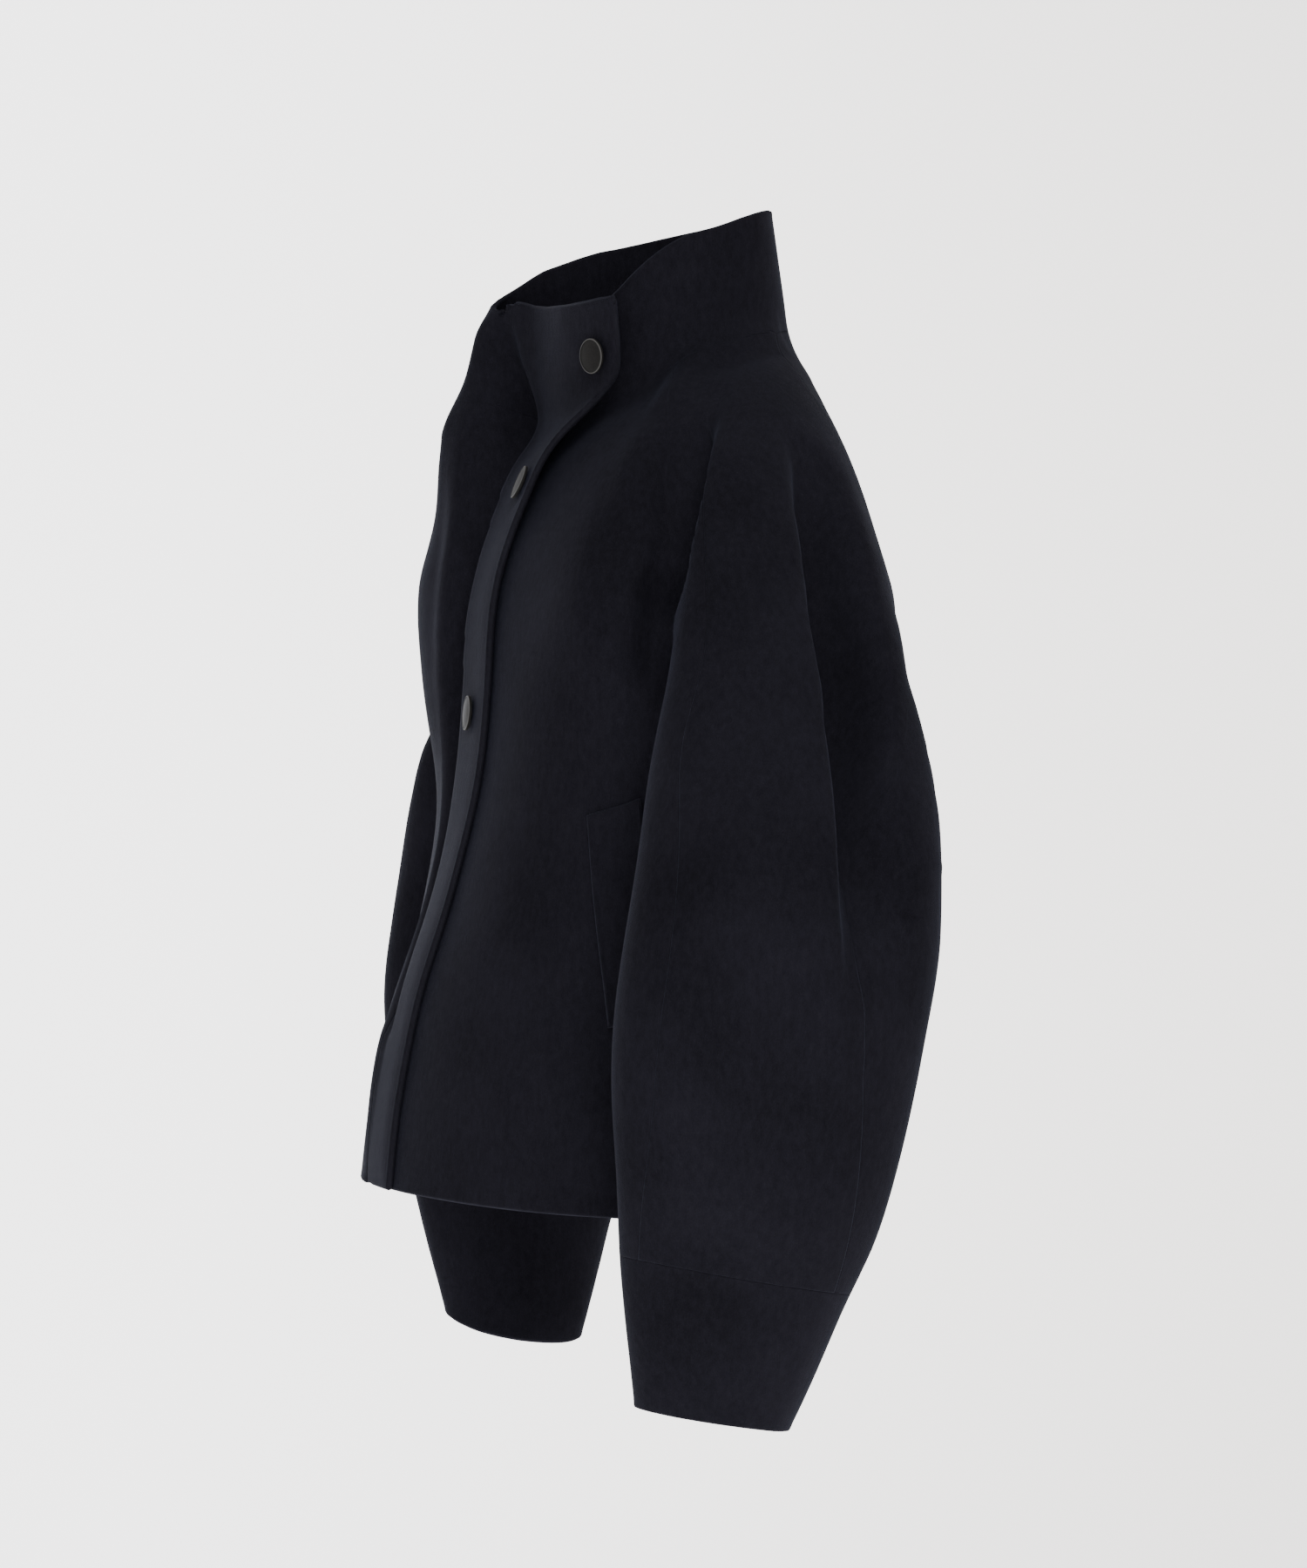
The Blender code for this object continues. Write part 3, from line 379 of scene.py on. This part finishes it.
def pressFold(fold, side):
    line = foldLine(fold["line"]) * (side, 1, 1)
    widest = max(fold["ahead"], fold["behind"])
    low, high = line.min(axis=0) - widest, line.max(axis=0) + widest
    near = np.where(np.all((points > low) & (points < high), axis=1))[0]
    gaps = np.linalg.norm(points[near][:, None] - line[None], axis=2)
    closest = gaps.argmin(axis=1)
    along = np.gradient(line, axis=0)
    along /= np.linalg.norm(along, axis=1)[:, None]
    onLine = gaps.argmin(axis=0)
    lineNormals = normals[near][onLine]
    offset = points[near] - line[closest]
    across = np.cross(along[closest], lineNormals[closest])
    ahead = np.einsum("ij,ij->i", across, offset) * side > 0
    width = np.where(ahead, fold["ahead"], fold["behind"])
    inside = np.maximum(1 - (gaps.min(axis=1) / width) ** 2, 0) ** 2
    same = np.einsum("ij,ij->i", normals[near], lineNormals[closest]) > foldShape["facing"]
    taper = np.sin(np.pi * closest / (len(line) - 1)) ** foldShape["taper"]
    points[near] += normals[near] * (fold["depth"] * inside * same * taper)[:, None]
    soft = (inside > 0) & same & ~onEdge[near]
    relax(near[soft], np.full(soft.sum(), easePull), foldShape["soft"])


normals = surfaceNormals()
for fold in folds:
    for side in sides(fold):
        pressFold(fold, side)
    normals = surfaceNormals()
for spot in settled:
    easeSurface(spot)
evenRim(collarRim)
normals = surfaceNormals()
print("folds", len(folds), "settled", len(settled))

# soft uneven drape over all of the cloth
drape = {"size": 0.075, "height": 0.0012}
for i in range(count):
    p = Vector(points[i]) / drape["size"]
    points[i] += normals[i] * drape["height"] * noise.noise(p)
normals = surfaceNormals()
print("drape done")

# panels with their own thickness, sewn seams and rounded free edges: two narrow rings run round each panel, and
# depth, painted shade in the seams and fuzz with a painted highlight on the free edges go from the edge inwards
edgeRings = (0.0008, 0.0011)
# the seam marks paint shade into the colour along each seam
seamEdge = {"depth": (-0.0005, -0.00012, 0.0), "draw": 0.0001, "inner": 0.2, "seamShadeMark": (1.0, 0.5)}
# the free edges' fuzz values paint a highlight into the colour, where light catches the fibre tips
freeEdge = {"depth": (-0.0009, -0.00012, 0.0002), "draw": 0.0, "inner": 1.0, "bulge": 0.0009,
            "bulgeWall": 0.003, "fuzzHighlight": (0.7, 0.25), "rimFuzzHighlight": 1.0}
seamShows = {"collarFrom": 0.05, "collarFull": 0.09, "sleeve": 0.35, "other": 1.0, "behind": 0.03,
             "topFrom": -0.13, "topTo": -0.07, "rearFrom": -0.48, "rearTo": -0.40}


def panelKind(name):
    words = name.split("_")
    return "_".join(words[:2]) if words[0] == "sleeve" else words[0]


def seamStrength():
    strength = np.full(count, seamShows["other"])
    collarFade = seamShows["collarFull"] - seamShows["collarFrom"]
    for edge, both in edgeOwners.items():
        if len(set(both)) < 2:
            continue
        kinds = {panelKind(name) for name in both}
        sleeved = any(kind.startswith("sleeve") for kind in kinds)
        most = seamShows["sleeve" if sleeved else "other"]
        for i in edge:
            _, y, z = points[i]
            share = most
            if "collar" in kinds:  # the collar is grown on at the front, and sewn on behind
                share = (y - seamShows["collarFrom"]) / collarFade
            elif sleeved and kinds & {"front", "back"}:  # shoulder and armhole are pressed flat at the front
                share = most if y > seamShows["behind"] else 0.0
            elif kinds == {"sleeve_outer", "sleeve_under"}:  # it runs out towards the shoulder
                end = "top" if y < seamShows["behind"] else "rear"
                low, high = seamShows[end + "From"], seamShows[end + "To"]
                share = most * min((high - z) / (high - low), 1.0)
            strength[i] = min(strength[i], max(min(share, most), 0.0))
    return strength


shows = seamStrength()


def clothPiece(node, wall, corners, faces, cornerNormals, freeEdges, shown):
    bm = bmesh.new()
    verts = [bm.verts.new(p) for p in corners]
    for face in faces:
        bm.faces.new([verts[i] for i in face])
    bm.verts.index_update()
    border = [e for e in bm.edges if len(e.link_faces) == 1]
    isFree = {}
    for e in border:
        pair = tuple(sorted(v.index for v in e.verts))
        for v in e.verts:
            isFree[v.index] = isFree.get(v.index, False) or pair in freeEdges
    tree = kdtree.KDTree(len(isFree))
    for i in isFree:
        tree.insert(Vector(corners[i]), i)
    tree.balance()
    ringFaces = set()
    for width in edgeRings:
        inside = [f for f in bm.faces if f not in ringFaces]
        ringFaces |= set(bmesh.ops.inset_region(bm, faces=inside, thickness=width, use_boundary=True,
                                                use_even_offset=True)["faces"])
    bm.normal_update()
    bm.verts.index_update()
    onBorder = {v for e in bm.edges if len(e.link_faces) == 1 for v in e.verts}
    level = {v: 0 for v in onBorder}
    for step in (1, 2):
        for v in [v for v in level if level[v] == step - 1]:
            for e in v.link_edges:
                other = e.other_vert(v)
                if other not in level and any(f in ringFaces for f in e.link_faces):
                    level[other] = step
    n = len(bm.verts)
    outer = np.array([v.co[:] for v in bm.verts])
    up = np.array([v.normal[:] for v in bm.verts])
    free = np.zeros(n, bool)
    show = np.ones(n)
    rank = np.full(n, 3)
    for v, step in level.items():
        _, i, _ = tree.find(v.co)
        free[v.index] = isFree[i]
        show[v.index] = 1.0 if isFree[i] else shown[i]
        rank[v.index] = step
        if step == 0:
            up[v.index] = cornerNormals[i]
    inner = outer - up * wall
    away = np.zeros((n, 3))
    rimEdges = []
    for f in bm.faces:
        for loop in f.loops:
            if len(loop.edge.link_faces) == 1:
                a, b = loop.vert.index, loop.link_loop_next.vert.index
                rimEdges.append((a, b))
                side = np.cross(outer[b] - outer[a], up[a] + up[b])
                away[a] += side
                away[b] += side
    size = np.linalg.norm(away, axis=1)
    away[size > 0] /= size[size > 0][:, None]
    for step in (0, 1, 2):
        for kind, mask in ((seamEdge, ~free), (freeEdge, free)):
            at = (rank == step) & mask
            outer[at] += up[at] * (kind["depth"][step] * show[at])[:, None]
            inner[at] -= up[at] * min(kind["depth"][step], 0.0) * kind["inner"]
            if step == 0:
                outer[at] -= away[at] * (kind["draw"] * show[at])[:, None]
                inner[at] -= away[at] * (kind["draw"] * show[at])[:, None]
    middle = 0.5 * (outer + inner)
    rim = sorted({i for edge in rimEdges for i in edge})
    place = {i: 2 * n + k for k, i in enumerate(rim)}
    bulge = np.where(free, freeEdge["bulge"] * wall / freeEdge["bulgeWall"], 0.0)
    rimPoints = middle[rim] + away[rim] * bulge[rim][:, None]
    outFaces = [[v.index for v in f.verts] for f in bm.faces]
    allFaces = outFaces + [[n + i for i in reversed(face)] for face in outFaces]
    for a, b in rimEdges:
        allFaces += [[b, a, place[a], place[b]], [place[b], place[a], n + a, n + b]]
    bm.free()
    data = bpy.data.meshes.new(node + "_cloth")
    data.from_pydata(np.concatenate([outer, inner, rimPoints]).tolist(), [], allFaces)
    # painted shade along the seams and a painted highlight on the fuzzy free edges, kept as point attributes
    seamShadeMark, fuzzHighlight = np.zeros(2 * n + len(rim)), np.zeros(2 * n + len(rim))
    for step in (0, 1):
        at = np.where(rank == step)[0]
        seamShadeMark[at] = seamEdge["seamShadeMark"][step] * np.where(free[at], 0.0, show[at])
        fuzzHighlight[at] = np.where(free[at], freeEdge["fuzzHighlight"][step], 0.0)
    fuzzHighlight[2 * n:] = np.where(free[rim], freeEdge["rimFuzzHighlight"], 0.0)
    data.attributes.new("seam", "FLOAT", "POINT").data.foreach_set("value", seamShadeMark)
    data.attributes.new("fuzzHighlight", "FLOAT", "POINT").data.foreach_set("value", fuzzHighlight)
    data.shade_smooth()
    sewn = {tuple(sorted(edge)) for edge in rimEdges if not (free[edge[0]] and free[edge[1]])}
    sharp = [tuple(sorted(e.vertices)) in sewn for e in data.edges]  # shading runs on across a seam
    data.attributes.new("sharp_edge", "BOOLEAN", "EDGE").data.foreach_set("value", sharp)
    data.validate()
    piece = bpy.data.objects.new(node + "_cloth", data)
    scene.collection.objects.link(piece)
    return piece


cloth = {}
for index, node in enumerate(names):
    mine = [q for q, o in zip(quads, owner) if o == index]
    used = sorted({i for q in mine for i in q})
    local = {i: k for k, i in enumerate(used)}
    freeEdges = set()
    for q in mine:
        for k in range(len(q)):
            edge = tuple(sorted((q[k], q[k - 1])))
            if len(edgeOwners[edge]) == 1:
                freeEdges.add(tuple(sorted((local[edge[0]], local[edge[1]]))))
    faces = [[local[i] for i in q] for q in mine]
    cloth[node] = clothPiece(node, panels[node]["wall"], points[used], faces, normals[used], freeEdges,
                             shows[used])
    print(node, len(cloth[node].data.polygons), "faces")
bpy.data.objects.remove(surface)

nearest = 8


# how far the cloth beneath a spot has moved from its solid, and its facing there
def clothUnder(spot, panel):
    mine = panelPoints[panel]
    near = mine[np.argsort(np.linalg.norm(asPacked[mine] - spot, axis=1))[:nearest]]
    return (points[near] - asPacked[near]).mean(axis=0), normals[near].mean(axis=0)


# welts, smoothed from their solids and laid on the fronts
welts = {"wall": 0.003, "cut": (0.043, 0.148), "levels": 2, "fill": 0.93}
for node in ("welt_left", "welt_right"):
    corners, faces = outerWall(node, welts["wall"])
    data = bpy.data.meshes.new("weltTop")
    data.from_pydata(corners, [], faces)
    top = smoothSurface("weltTop", data, welts["levels"])
    faces = [tuple(q.vertices) for q in data.polygons]
    under = node.replace("welt", "front")
    corners = np.array([np.array(v.co) + clothUnder(np.array(v.co), under)[0] for v in data.vertices])
    ups = np.array([v.normal[:] for v in data.vertices])
    weltEdges = {tuple(sorted(e.vertices)) for e in data.edges}
    cloth[node] = clothPiece(node, welts["wall"], corners, faces, ups, weltEdges, np.ones(len(corners)))
    bpy.data.objects.remove(top)

# helpers that the materials share
def newMaterial(name):
    material = bpy.data.materials.new(name)
    material.use_nodes = True
    tree = material.node_tree
    return material, tree.nodes["Principled BSDF"], tree.nodes.new, tree.links.new


def setInputs(node, values):
    for label, value in values.items():
        node.inputs[label].default_value = value


def setRamp(ramp, places, colours):
    for element, place, colour in zip(ramp.color_ramp.elements, places, colours):
        element.position = place
        element.color = colour


def mixedColour(make, link, factor, first, second):
    mix = make("ShaderNodeMix")
    mix.data_type = "RGBA"
    mix.inputs["B"].default_value = second
    link(factor, mix.inputs["Factor"])
    link(first, mix.inputs["A"])
    return mix.outputs["Result"]


def attribute(make, name):
    node = make("ShaderNodeAttribute")
    node.attribute_name = name
    return node.outputs["Fac"]


# wool melton: fibres, tufts and clouds of tone, with painted shade darkening the seams and a painted highlight as
# haze on the free edges
wool = {"dark": (0.0036, 0.0035, 0.0050, 1), "light": (0.0078, 0.0076, 0.0110, 1), "tones": (0.36, 0.66),
        "seam": (0.0014, 0.0014, 0.0022, 1), "seamShadeShare": 0.85, "fuzzHighlight": (0.011, 0.011, 0.015, 1),
        "bump": 0.55, "bumpDepth": 0.0008, "roughness": 0.95, "specular": 0.02,
        "sheen": 0.025, "sheenRoughness": 0.35, "sheenTint": (0.50, 0.56, 0.85, 1)}
nap = {"lie": (1.0, 1.0, 0.45), "fine": (0.55, 0.45), "tone": (0.65, 0.35)}  # the nap lies down the coat
napLayers = {
    "Fibre Scale": {"scale": 1500.0, "detail": 3.0, "rough": 0.65, "lies": True},
    "Tuft Scale": {"scale": 260.0, "detail": 2.0, "rough": 0.6, "lies": True},
    "Cloud Scale": {"scale": 11.0, "detail": 2.0, "rough": 0.5, "lies": False},
}


def meltonNap():
    group = bpy.data.node_groups.new("meltonNap", "ShaderNodeTree")
    for label in napLayers:
        group.interface.new_socket(label, in_out="INPUT", socket_type="NodeSocketFloat")
    for label in ("Tone", "Height"):
        group.interface.new_socket(label, in_out="OUTPUT", socket_type="NodeSocketFloat")
    make, link = group.nodes.new, group.links.new
    start, end = make("NodeGroupInput"), make("NodeGroupOutput")
    coords, stretch = make("ShaderNodeTexCoord"), make("ShaderNodeMapping")
    stretch.inputs["Scale"].default_value = nap["lie"]
    link(coords.outputs["Object"], stretch.inputs["Vector"])
    grains = []
    for label, layer in napLayers.items():
        grain = make("ShaderNodeTexNoise")
        setInputs(grain, {"Detail": layer["detail"], "Roughness": layer["rough"]})
        link(stretch.outputs["Vector"] if layer["lies"] else coords.outputs["Object"], grain.inputs["Vector"])
        link(start.outputs[label], grain.inputs["Scale"])
        grains.append(grain.outputs["Fac"])

    def mixed(sources, shares):
        total = make("ShaderNodeMath")
        for k in range(2):
            part = make("ShaderNodeMath")
            part.operation = "MULTIPLY"
            link(sources[k], part.inputs[0])
            part.inputs[1].default_value = shares[k]
            link(part.outputs[0], total.inputs[k])
        return total.outputs[0]

    fibre, tuft, cloud = grains
    fine = mixed((fibre, tuft), nap["fine"])
    link(fine, end.inputs["Height"])
    link(mixed((fine, cloud), nap["tone"]), end.inputs["Tone"])
    return group


def woolMaterial():
    material, shader, make, link = newMaterial("navyMelton")
    grain = make("ShaderNodeGroup")
    grain.node_tree = meltonNap()
    setInputs(grain, {label: layer["scale"] for label, layer in napLayers.items()})
    ramp = make("ShaderNodeValToRGB")
    setRamp(ramp, wool["tones"], (wool["dark"], wool["light"]))
    link(grain.outputs["Tone"], ramp.inputs["Fac"])
    # painted shade: the seam marks darken the colour towards the seam colour
    seamShaded, worn = make("ShaderNodeMath"), make("ShaderNodeMath")
    seamShaded.operation = worn.operation = "MULTIPLY"
    link(attribute(make, "seam"), seamShaded.inputs[0])
    seamShaded.inputs[1].default_value = wool["seamShadeShare"]
    # painted highlight: the fuzzy free edges are lightened towards the fuzz colour, as where light catches the fibre
    # tips
    link(attribute(make, "fuzzHighlight"), worn.inputs[0])
    link(grain.outputs["Tone"], worn.inputs[1])
    shaded = mixedColour(make, link, seamShaded.outputs[0], ramp.outputs["Color"], wool["seam"])
    hazy = mixedColour(make, link, worn.outputs[0], shaded, wool["fuzzHighlight"])
    link(hazy, shader.inputs["Base Color"])
    bump = make("ShaderNodeBump")
    setInputs(bump, {"Strength": wool["bump"], "Distance": wool["bumpDepth"]})
    link(grain.outputs["Height"], bump.inputs["Height"])
    link(bump.outputs["Normal"], shader.inputs["Normal"])
    setInputs(shader, {"Roughness": wool["roughness"], "Specular IOR Level": wool["specular"],
                       "Sheen Weight": wool["sheen"], "Sheen Roughness": wool["sheenRoughness"],
                       "Sheen Tint": wool["sheenTint"]})
    return material


melton = woolMaterial()
for node, piece in cloth.items():
    piece.data.materials.append(melton)
    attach(piece, "root")
    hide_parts(node)
print("wool on", len(cloth), "pieces")

# snap caps, modelled once at the origin and copied to each place: thickness and depth of each step of the top
snap = {"radius": 0.0119, "height": 0.0030, "body": 0.6, "foot": 0.0014, "count": 3, "sides": 64,
        "steps": ((0.0009, 0.0004), (0.0006, -0.00035), (0.0018, 0.00030), (0.0035, 0.00035), (0.0030, 0.00015)),
        "underBevel": 0.0005, "edgeBevel": 0.00022, "bevelCuts": 2, "bevelAngle": 25, "smoothAngle": 35,
        "postRadius": 0.005, "postSides": 32, "postInto": 0.0006,
        "rimInner": 0.0007, "rimOuter": 0.0001, "rimAbove": 0.0015}


def addCylinder(sides, radius, low, high):
    bpy.ops.mesh.primitive_cylinder_add(vertices=sides, radius=radius, depth=high - low,
                                        location=(0, 0, (low + high) / 2))
    bpy.ops.object.transform_apply(location=True, rotation=True, scale=True)
    return bpy.context.object


def snapCap():
    bpy.ops.object.select_all(action="DESELECT")
    cap = addCylinder(snap["sides"], snap["radius"], snap["foot"], snap["foot"] + snap["height"] * snap["body"])
    cap.name = "snapCap"
    bpy.ops.object.mode_set(mode="EDIT")
    bm = bmesh.from_edit_mesh(cap.data)
    bm.select_mode = {"FACE"}
    bpy.ops.mesh.select_mode(type="FACE")
    for thick, deep in snap["steps"]:
        for f in bm.faces:
            f.select_set(False)
        ends = [f for f in bm.faces if len(f.verts) == snap["sides"]]
        max(ends, key=lambda f: f.calc_center_median().z).select_set(True)
        bm.select_flush_mode()
        bmesh.update_edit_mesh(cap.data)
        bpy.ops.mesh.inset(thickness=thick, depth=deep)
        bm = bmesh.from_edit_mesh(cap.data)
    under = [e for e in bm.edges if all(abs(v.co.z - snap["foot"]) < 1e-6 for v in e.verts)]
    for f in bm.faces:
        f.select_set(False)
    bpy.ops.mesh.select_mode(type="EDGE")
    for e in under:
        e.select_set(True)
    bmesh.update_edit_mesh(cap.data)
    bpy.ops.mesh.bevel(offset=snap["underBevel"], segments=snap["bevelCuts"])
    bpy.ops.object.mode_set(mode="OBJECT")
    rounded = cap.modifiers.new("round", "BEVEL")
    rounded.width = snap["edgeBevel"]
    rounded.segments = snap["bevelCuts"]
    rounded.limit_method = "ANGLE"
    rounded.angle_limit = math.radians(snap["bevelAngle"])
    bpy.ops.object.modifier_apply(modifier="round")
    post = addCylinder(snap["postSides"], snap["postRadius"], 0.0, snap["foot"] + snap["postInto"])
    cap.select_set(True)
    post.select_set(True)
    bpy.context.view_layer.objects.active = cap
    bpy.ops.object.join()
    bpy.ops.object.shade_smooth_by_angle(angle=math.radians(snap["smoothAngle"]))
    inner, outer = snap["radius"] - snap["rimInner"], snap["radius"] - snap["rimOuter"]
    above = snap["foot"] + snap["rimAbove"]
    paintedRimHighlight = [float(inner < math.hypot(v.co.x, v.co.y) < outer and v.co.z > above)
                for v in cap.data.vertices]  # painted highlight: the raised rim is lighter to stand in for its glints
    cap.data.attributes.new("rim", "FLOAT", "POINT").data.foreach_set("value", paintedRimHighlight)
    return cap


# the rim colour is a painted highlight on the snap's raised rim, standing in for its glints
metal = {"colour": (0.0055, 0.0054, 0.0053, 1), "worn": (0.010, 0.0097, 0.0093, 1), "tones": (0.35, 0.8),
         "rim": (0.05, 0.049, 0.048, 1), "grain": 900.0, "detail": 4.0, "roughness": (0.58, 0.74),
         "specular": 0.06}


def snapMaterial():
    material, shader, make, link = newMaterial("darkSnapMetal")
    coords, grain = make("ShaderNodeTexCoord"), make("ShaderNodeTexNoise")
    setInputs(grain, {"Scale": metal["grain"], "Detail": metal["detail"]})
    link(coords.outputs["Object"], grain.inputs["Vector"])
    tint = make("ShaderNodeValToRGB")
    setRamp(tint, metal["tones"], (metal["colour"], metal["worn"]))
    link(grain.outputs["Fac"], tint.inputs["Fac"])
    # painted highlight: the raised rim is lightened towards the rim colour
    paintedRimHighlight = mixedColour(make, link, attribute(make, "rim"), tint.outputs["Color"], metal["rim"])
    link(paintedRimHighlight, shader.inputs["Base Color"])
    gloss = make("ShaderNodeMapRange")
    setInputs(gloss, dict(zip(("To Min", "To Max"), metal["roughness"])))
    link(grain.outputs["Fac"], gloss.inputs["Value"])
    link(gloss.outputs["Result"], shader.inputs["Roughness"])
    shader.inputs["Specular IOR Level"].default_value = metal["specular"]
    return material


capModel = snapCap()
darkSnap = snapMaterial()
for k in range(snap["count"]):
    node = "snap_%d" % (k + 1)
    spots = np.array([v.co[:] for v in nodes[node].data.vertices])
    middle = spots.mean(axis=0)
    _, _, turns = np.linalg.svd(spots - middle)
    axis = turns[2] * -np.sign(turns[2][1])
    foot = middle + axis * ((spots - middle) @ axis).min()
    shift, facing = clothUnder(foot, "front_band")
    foot = foot + shift
    spun = Vector((0, 0, 1)).rotation_difference(Vector(facing)).to_matrix().to_4x4()
    data = capModel.data.copy()
    data.transform(Matrix.Translation(Vector(foot)) @ spun)
    cap = bpy.data.objects.new(node + "_cap", data)
    scene.collection.objects.link(cap)
    data.materials.append(darkSnap)
    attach(cap, "root")
    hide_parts(node)
bpy.data.objects.remove(capModel)
print("snaps done")

# pale room that glows softly; each way, from and full says on which side a tone sets in
room = {"floor": -3.2, "radius": 6.0, "wall": 6.9, "corner": 2.5, "turns": 96, "bend": 13, "rings": (0.35, 0.7),
        "pale": (0.46, 0.458, 0.455, 1), "glow": 0.44,
        "shade": (0.44, 0.425, 0.41, 1), "shadeWay": (0.45, 0.89, 0.0), "shadeFrom": -0.25, "shadeFull": 0.95,
        "bright": (7.0, 6.95, 7.0, 1), "brightWay": (-0.98, 0.20, 0.0), "brightFrom": 0.72, "brightFull": 0.98,
        "dim": (4.6, 4.45, 4.35, 1), "dimWay": (0.45, 0.89, 0.0), "dimFrom": -0.42, "dimFull": 0.08,
        "under": (9.6, 9.5, 9.6, 1), "underWay": (0.0, 0.0, -1.0), "underFrom": 0.45, "underFull": 0.85}


def roomPaint():
    paint, shader, make, link = newMaterial("paleRoom")
    coords, way = make("ShaderNodeTexCoord"), make("ShaderNodeVectorMath")
    way.operation = "NORMALIZE"
    link(coords.outputs["Object"], way.inputs[0])

    def towardsSide(label):
        side, share = make("ShaderNodeVectorMath"), make("ShaderNodeMapRange")
        side.operation = "DOT_PRODUCT"
        link(way.outputs["Vector"], side.inputs[0])
        side.inputs[1].default_value = room[label + "Way"]
        share.interpolation_type = "SMOOTHSTEP"
        setInputs(share, {"From Min": room[label + "From"], "From Max": room[label + "Full"]})
        link(side.outputs["Value"], share.inputs["Value"])
        return share.outputs["Result"]

    tone, lit, glow, floor = (make("ShaderNodeMix") for _ in range(4))
    for mix, label in ((tone, "shade"), (lit, "dim"), (glow, "bright"), (floor, "under")):
        mix.data_type = "RGBA"
        mix.inputs["B"].default_value = room[label]
        link(towardsSide(label), mix.inputs["Factor"])
    tone.inputs["A"].default_value = room["pale"]
    lit.inputs["A"].default_value = room["bright"]
    link(tone.outputs["Result"], glow.inputs["A"])
    link(lit.outputs["Result"], glow.inputs["B"])
    link(glow.outputs["Result"], floor.inputs["A"])
    link(tone.outputs["Result"], shader.inputs["Base Color"])
    link(floor.outputs["Result"], shader.inputs["Emission Color"])
    setInputs(shader, {"Emission Strength": room["glow"], "Roughness": 1.0, "Specular IOR Level": 0.0})
    return paint


def paleRoom():
    flat, corner, turns = room["radius"] - room["corner"], room["corner"], room["turns"]
    profile = [(flat * share, 0.0) for share in room["rings"]]
    profile += [(flat + corner * math.sin(a), corner * (1 - math.cos(a)))
                for a in np.linspace(0, math.pi / 2, room["bend"])]
    profile += [(room["radius"], room["wall"])]
    around = [2 * math.pi * k / turns for k in range(turns)]
    spots, rings = [(0, 0, room["floor"])], []
    for r, z in profile:
        rings.append(range(len(spots), len(spots) + turns))
        spots += [(r * math.cos(a), r * math.sin(a), room["floor"] + z) for a in around]
    faces = [(0, rings[0][k], rings[0][(k + 1) % turns]) for k in range(turns)]
    for low, high in zip(rings, rings[1:]):
        faces += [(low[k], high[k], high[(k + 1) % turns], low[(k + 1) % turns]) for k in range(turns)]
    data = bpy.data.meshes.new("paleRoom")
    data.from_pydata(spots, [], faces)
    data.shade_smooth()
    item = bpy.data.objects.new("paleRoom", data)
    scene.collection.objects.link(item)
    data.materials.append(roomPaint())


paleRoom()
air = {"colour": (1.0, 0.995, 0.985, 1), "strength": 1.15}
sky = bpy.data.worlds.new("softSky")
sky.use_nodes = True
setInputs(sky.node_tree.nodes["Background"], {"Color": air["colour"], "Strength": air["strength"]})
scene.world = sky

lampAim = Vector((0, 0, -0.3))
lamps = {
    "rim": {"place": (-4.6, 0.1, 0.6), "size": 2.0, "power": 80, "colour": (0.76, 0.84, 1.0)},
    "left": {"place": (-3.9, -1.9, 0.3), "size": 2.4, "power": 60, "colour": (0.98, 0.98, 1.0)},
    "high": {"place": (3.4, -0.4, 3.0), "size": 2.0, "power": 160, "colour": (1.0, 0.99, 0.98)},
    "low": {"place": (3.7, -0.9, -0.9), "size": 1.6, "power": 72, "colour": (1.0, 0.98, 0.96)},
    "back": {"place": (-1.5, 3.6, 1.6), "size": 2.0, "power": 45, "colour": (1.0, 0.97, 0.94)},
}
for label, lamp in lamps.items():
    light = bpy.data.lights.new(label, "AREA")
    light.size = lamp["size"]
    light.energy = lamp["power"]
    light.color = lamp["colour"]
    item = bpy.data.objects.new(label, light)
    item.location = lamp["place"]
    item.rotation_euler = (lampAim - item.location).to_track_quat("-Z", "Y").to_euler()
    scene.collection.objects.link(item)

# camera: turned round the coat from its front, slid to its right and lowered
shot = {"turn": 73.0, "distance": 3.5, "slide": 0.015, "height": -0.290, "lens": 116.7, "film": 36.0}
turn = math.radians(shot["turn"])
towards = Vector((math.sin(turn), -math.cos(turn), 0))
across = Vector((math.cos(turn), math.sin(turn), 0))
camera = bpy.data.objects.new("camera", bpy.data.cameras.new("camera"))
camera.location = towards * shot["distance"] + across * shot["slide"] + Vector((0, 0, shot["height"]))
camera.rotation_euler = (-towards).to_track_quat("-Z", "Y").to_euler()
camera.data.lens = shot["lens"]
camera.data.sensor_width = shot["film"]
scene.collection.objects.link(camera)
scene.camera = camera
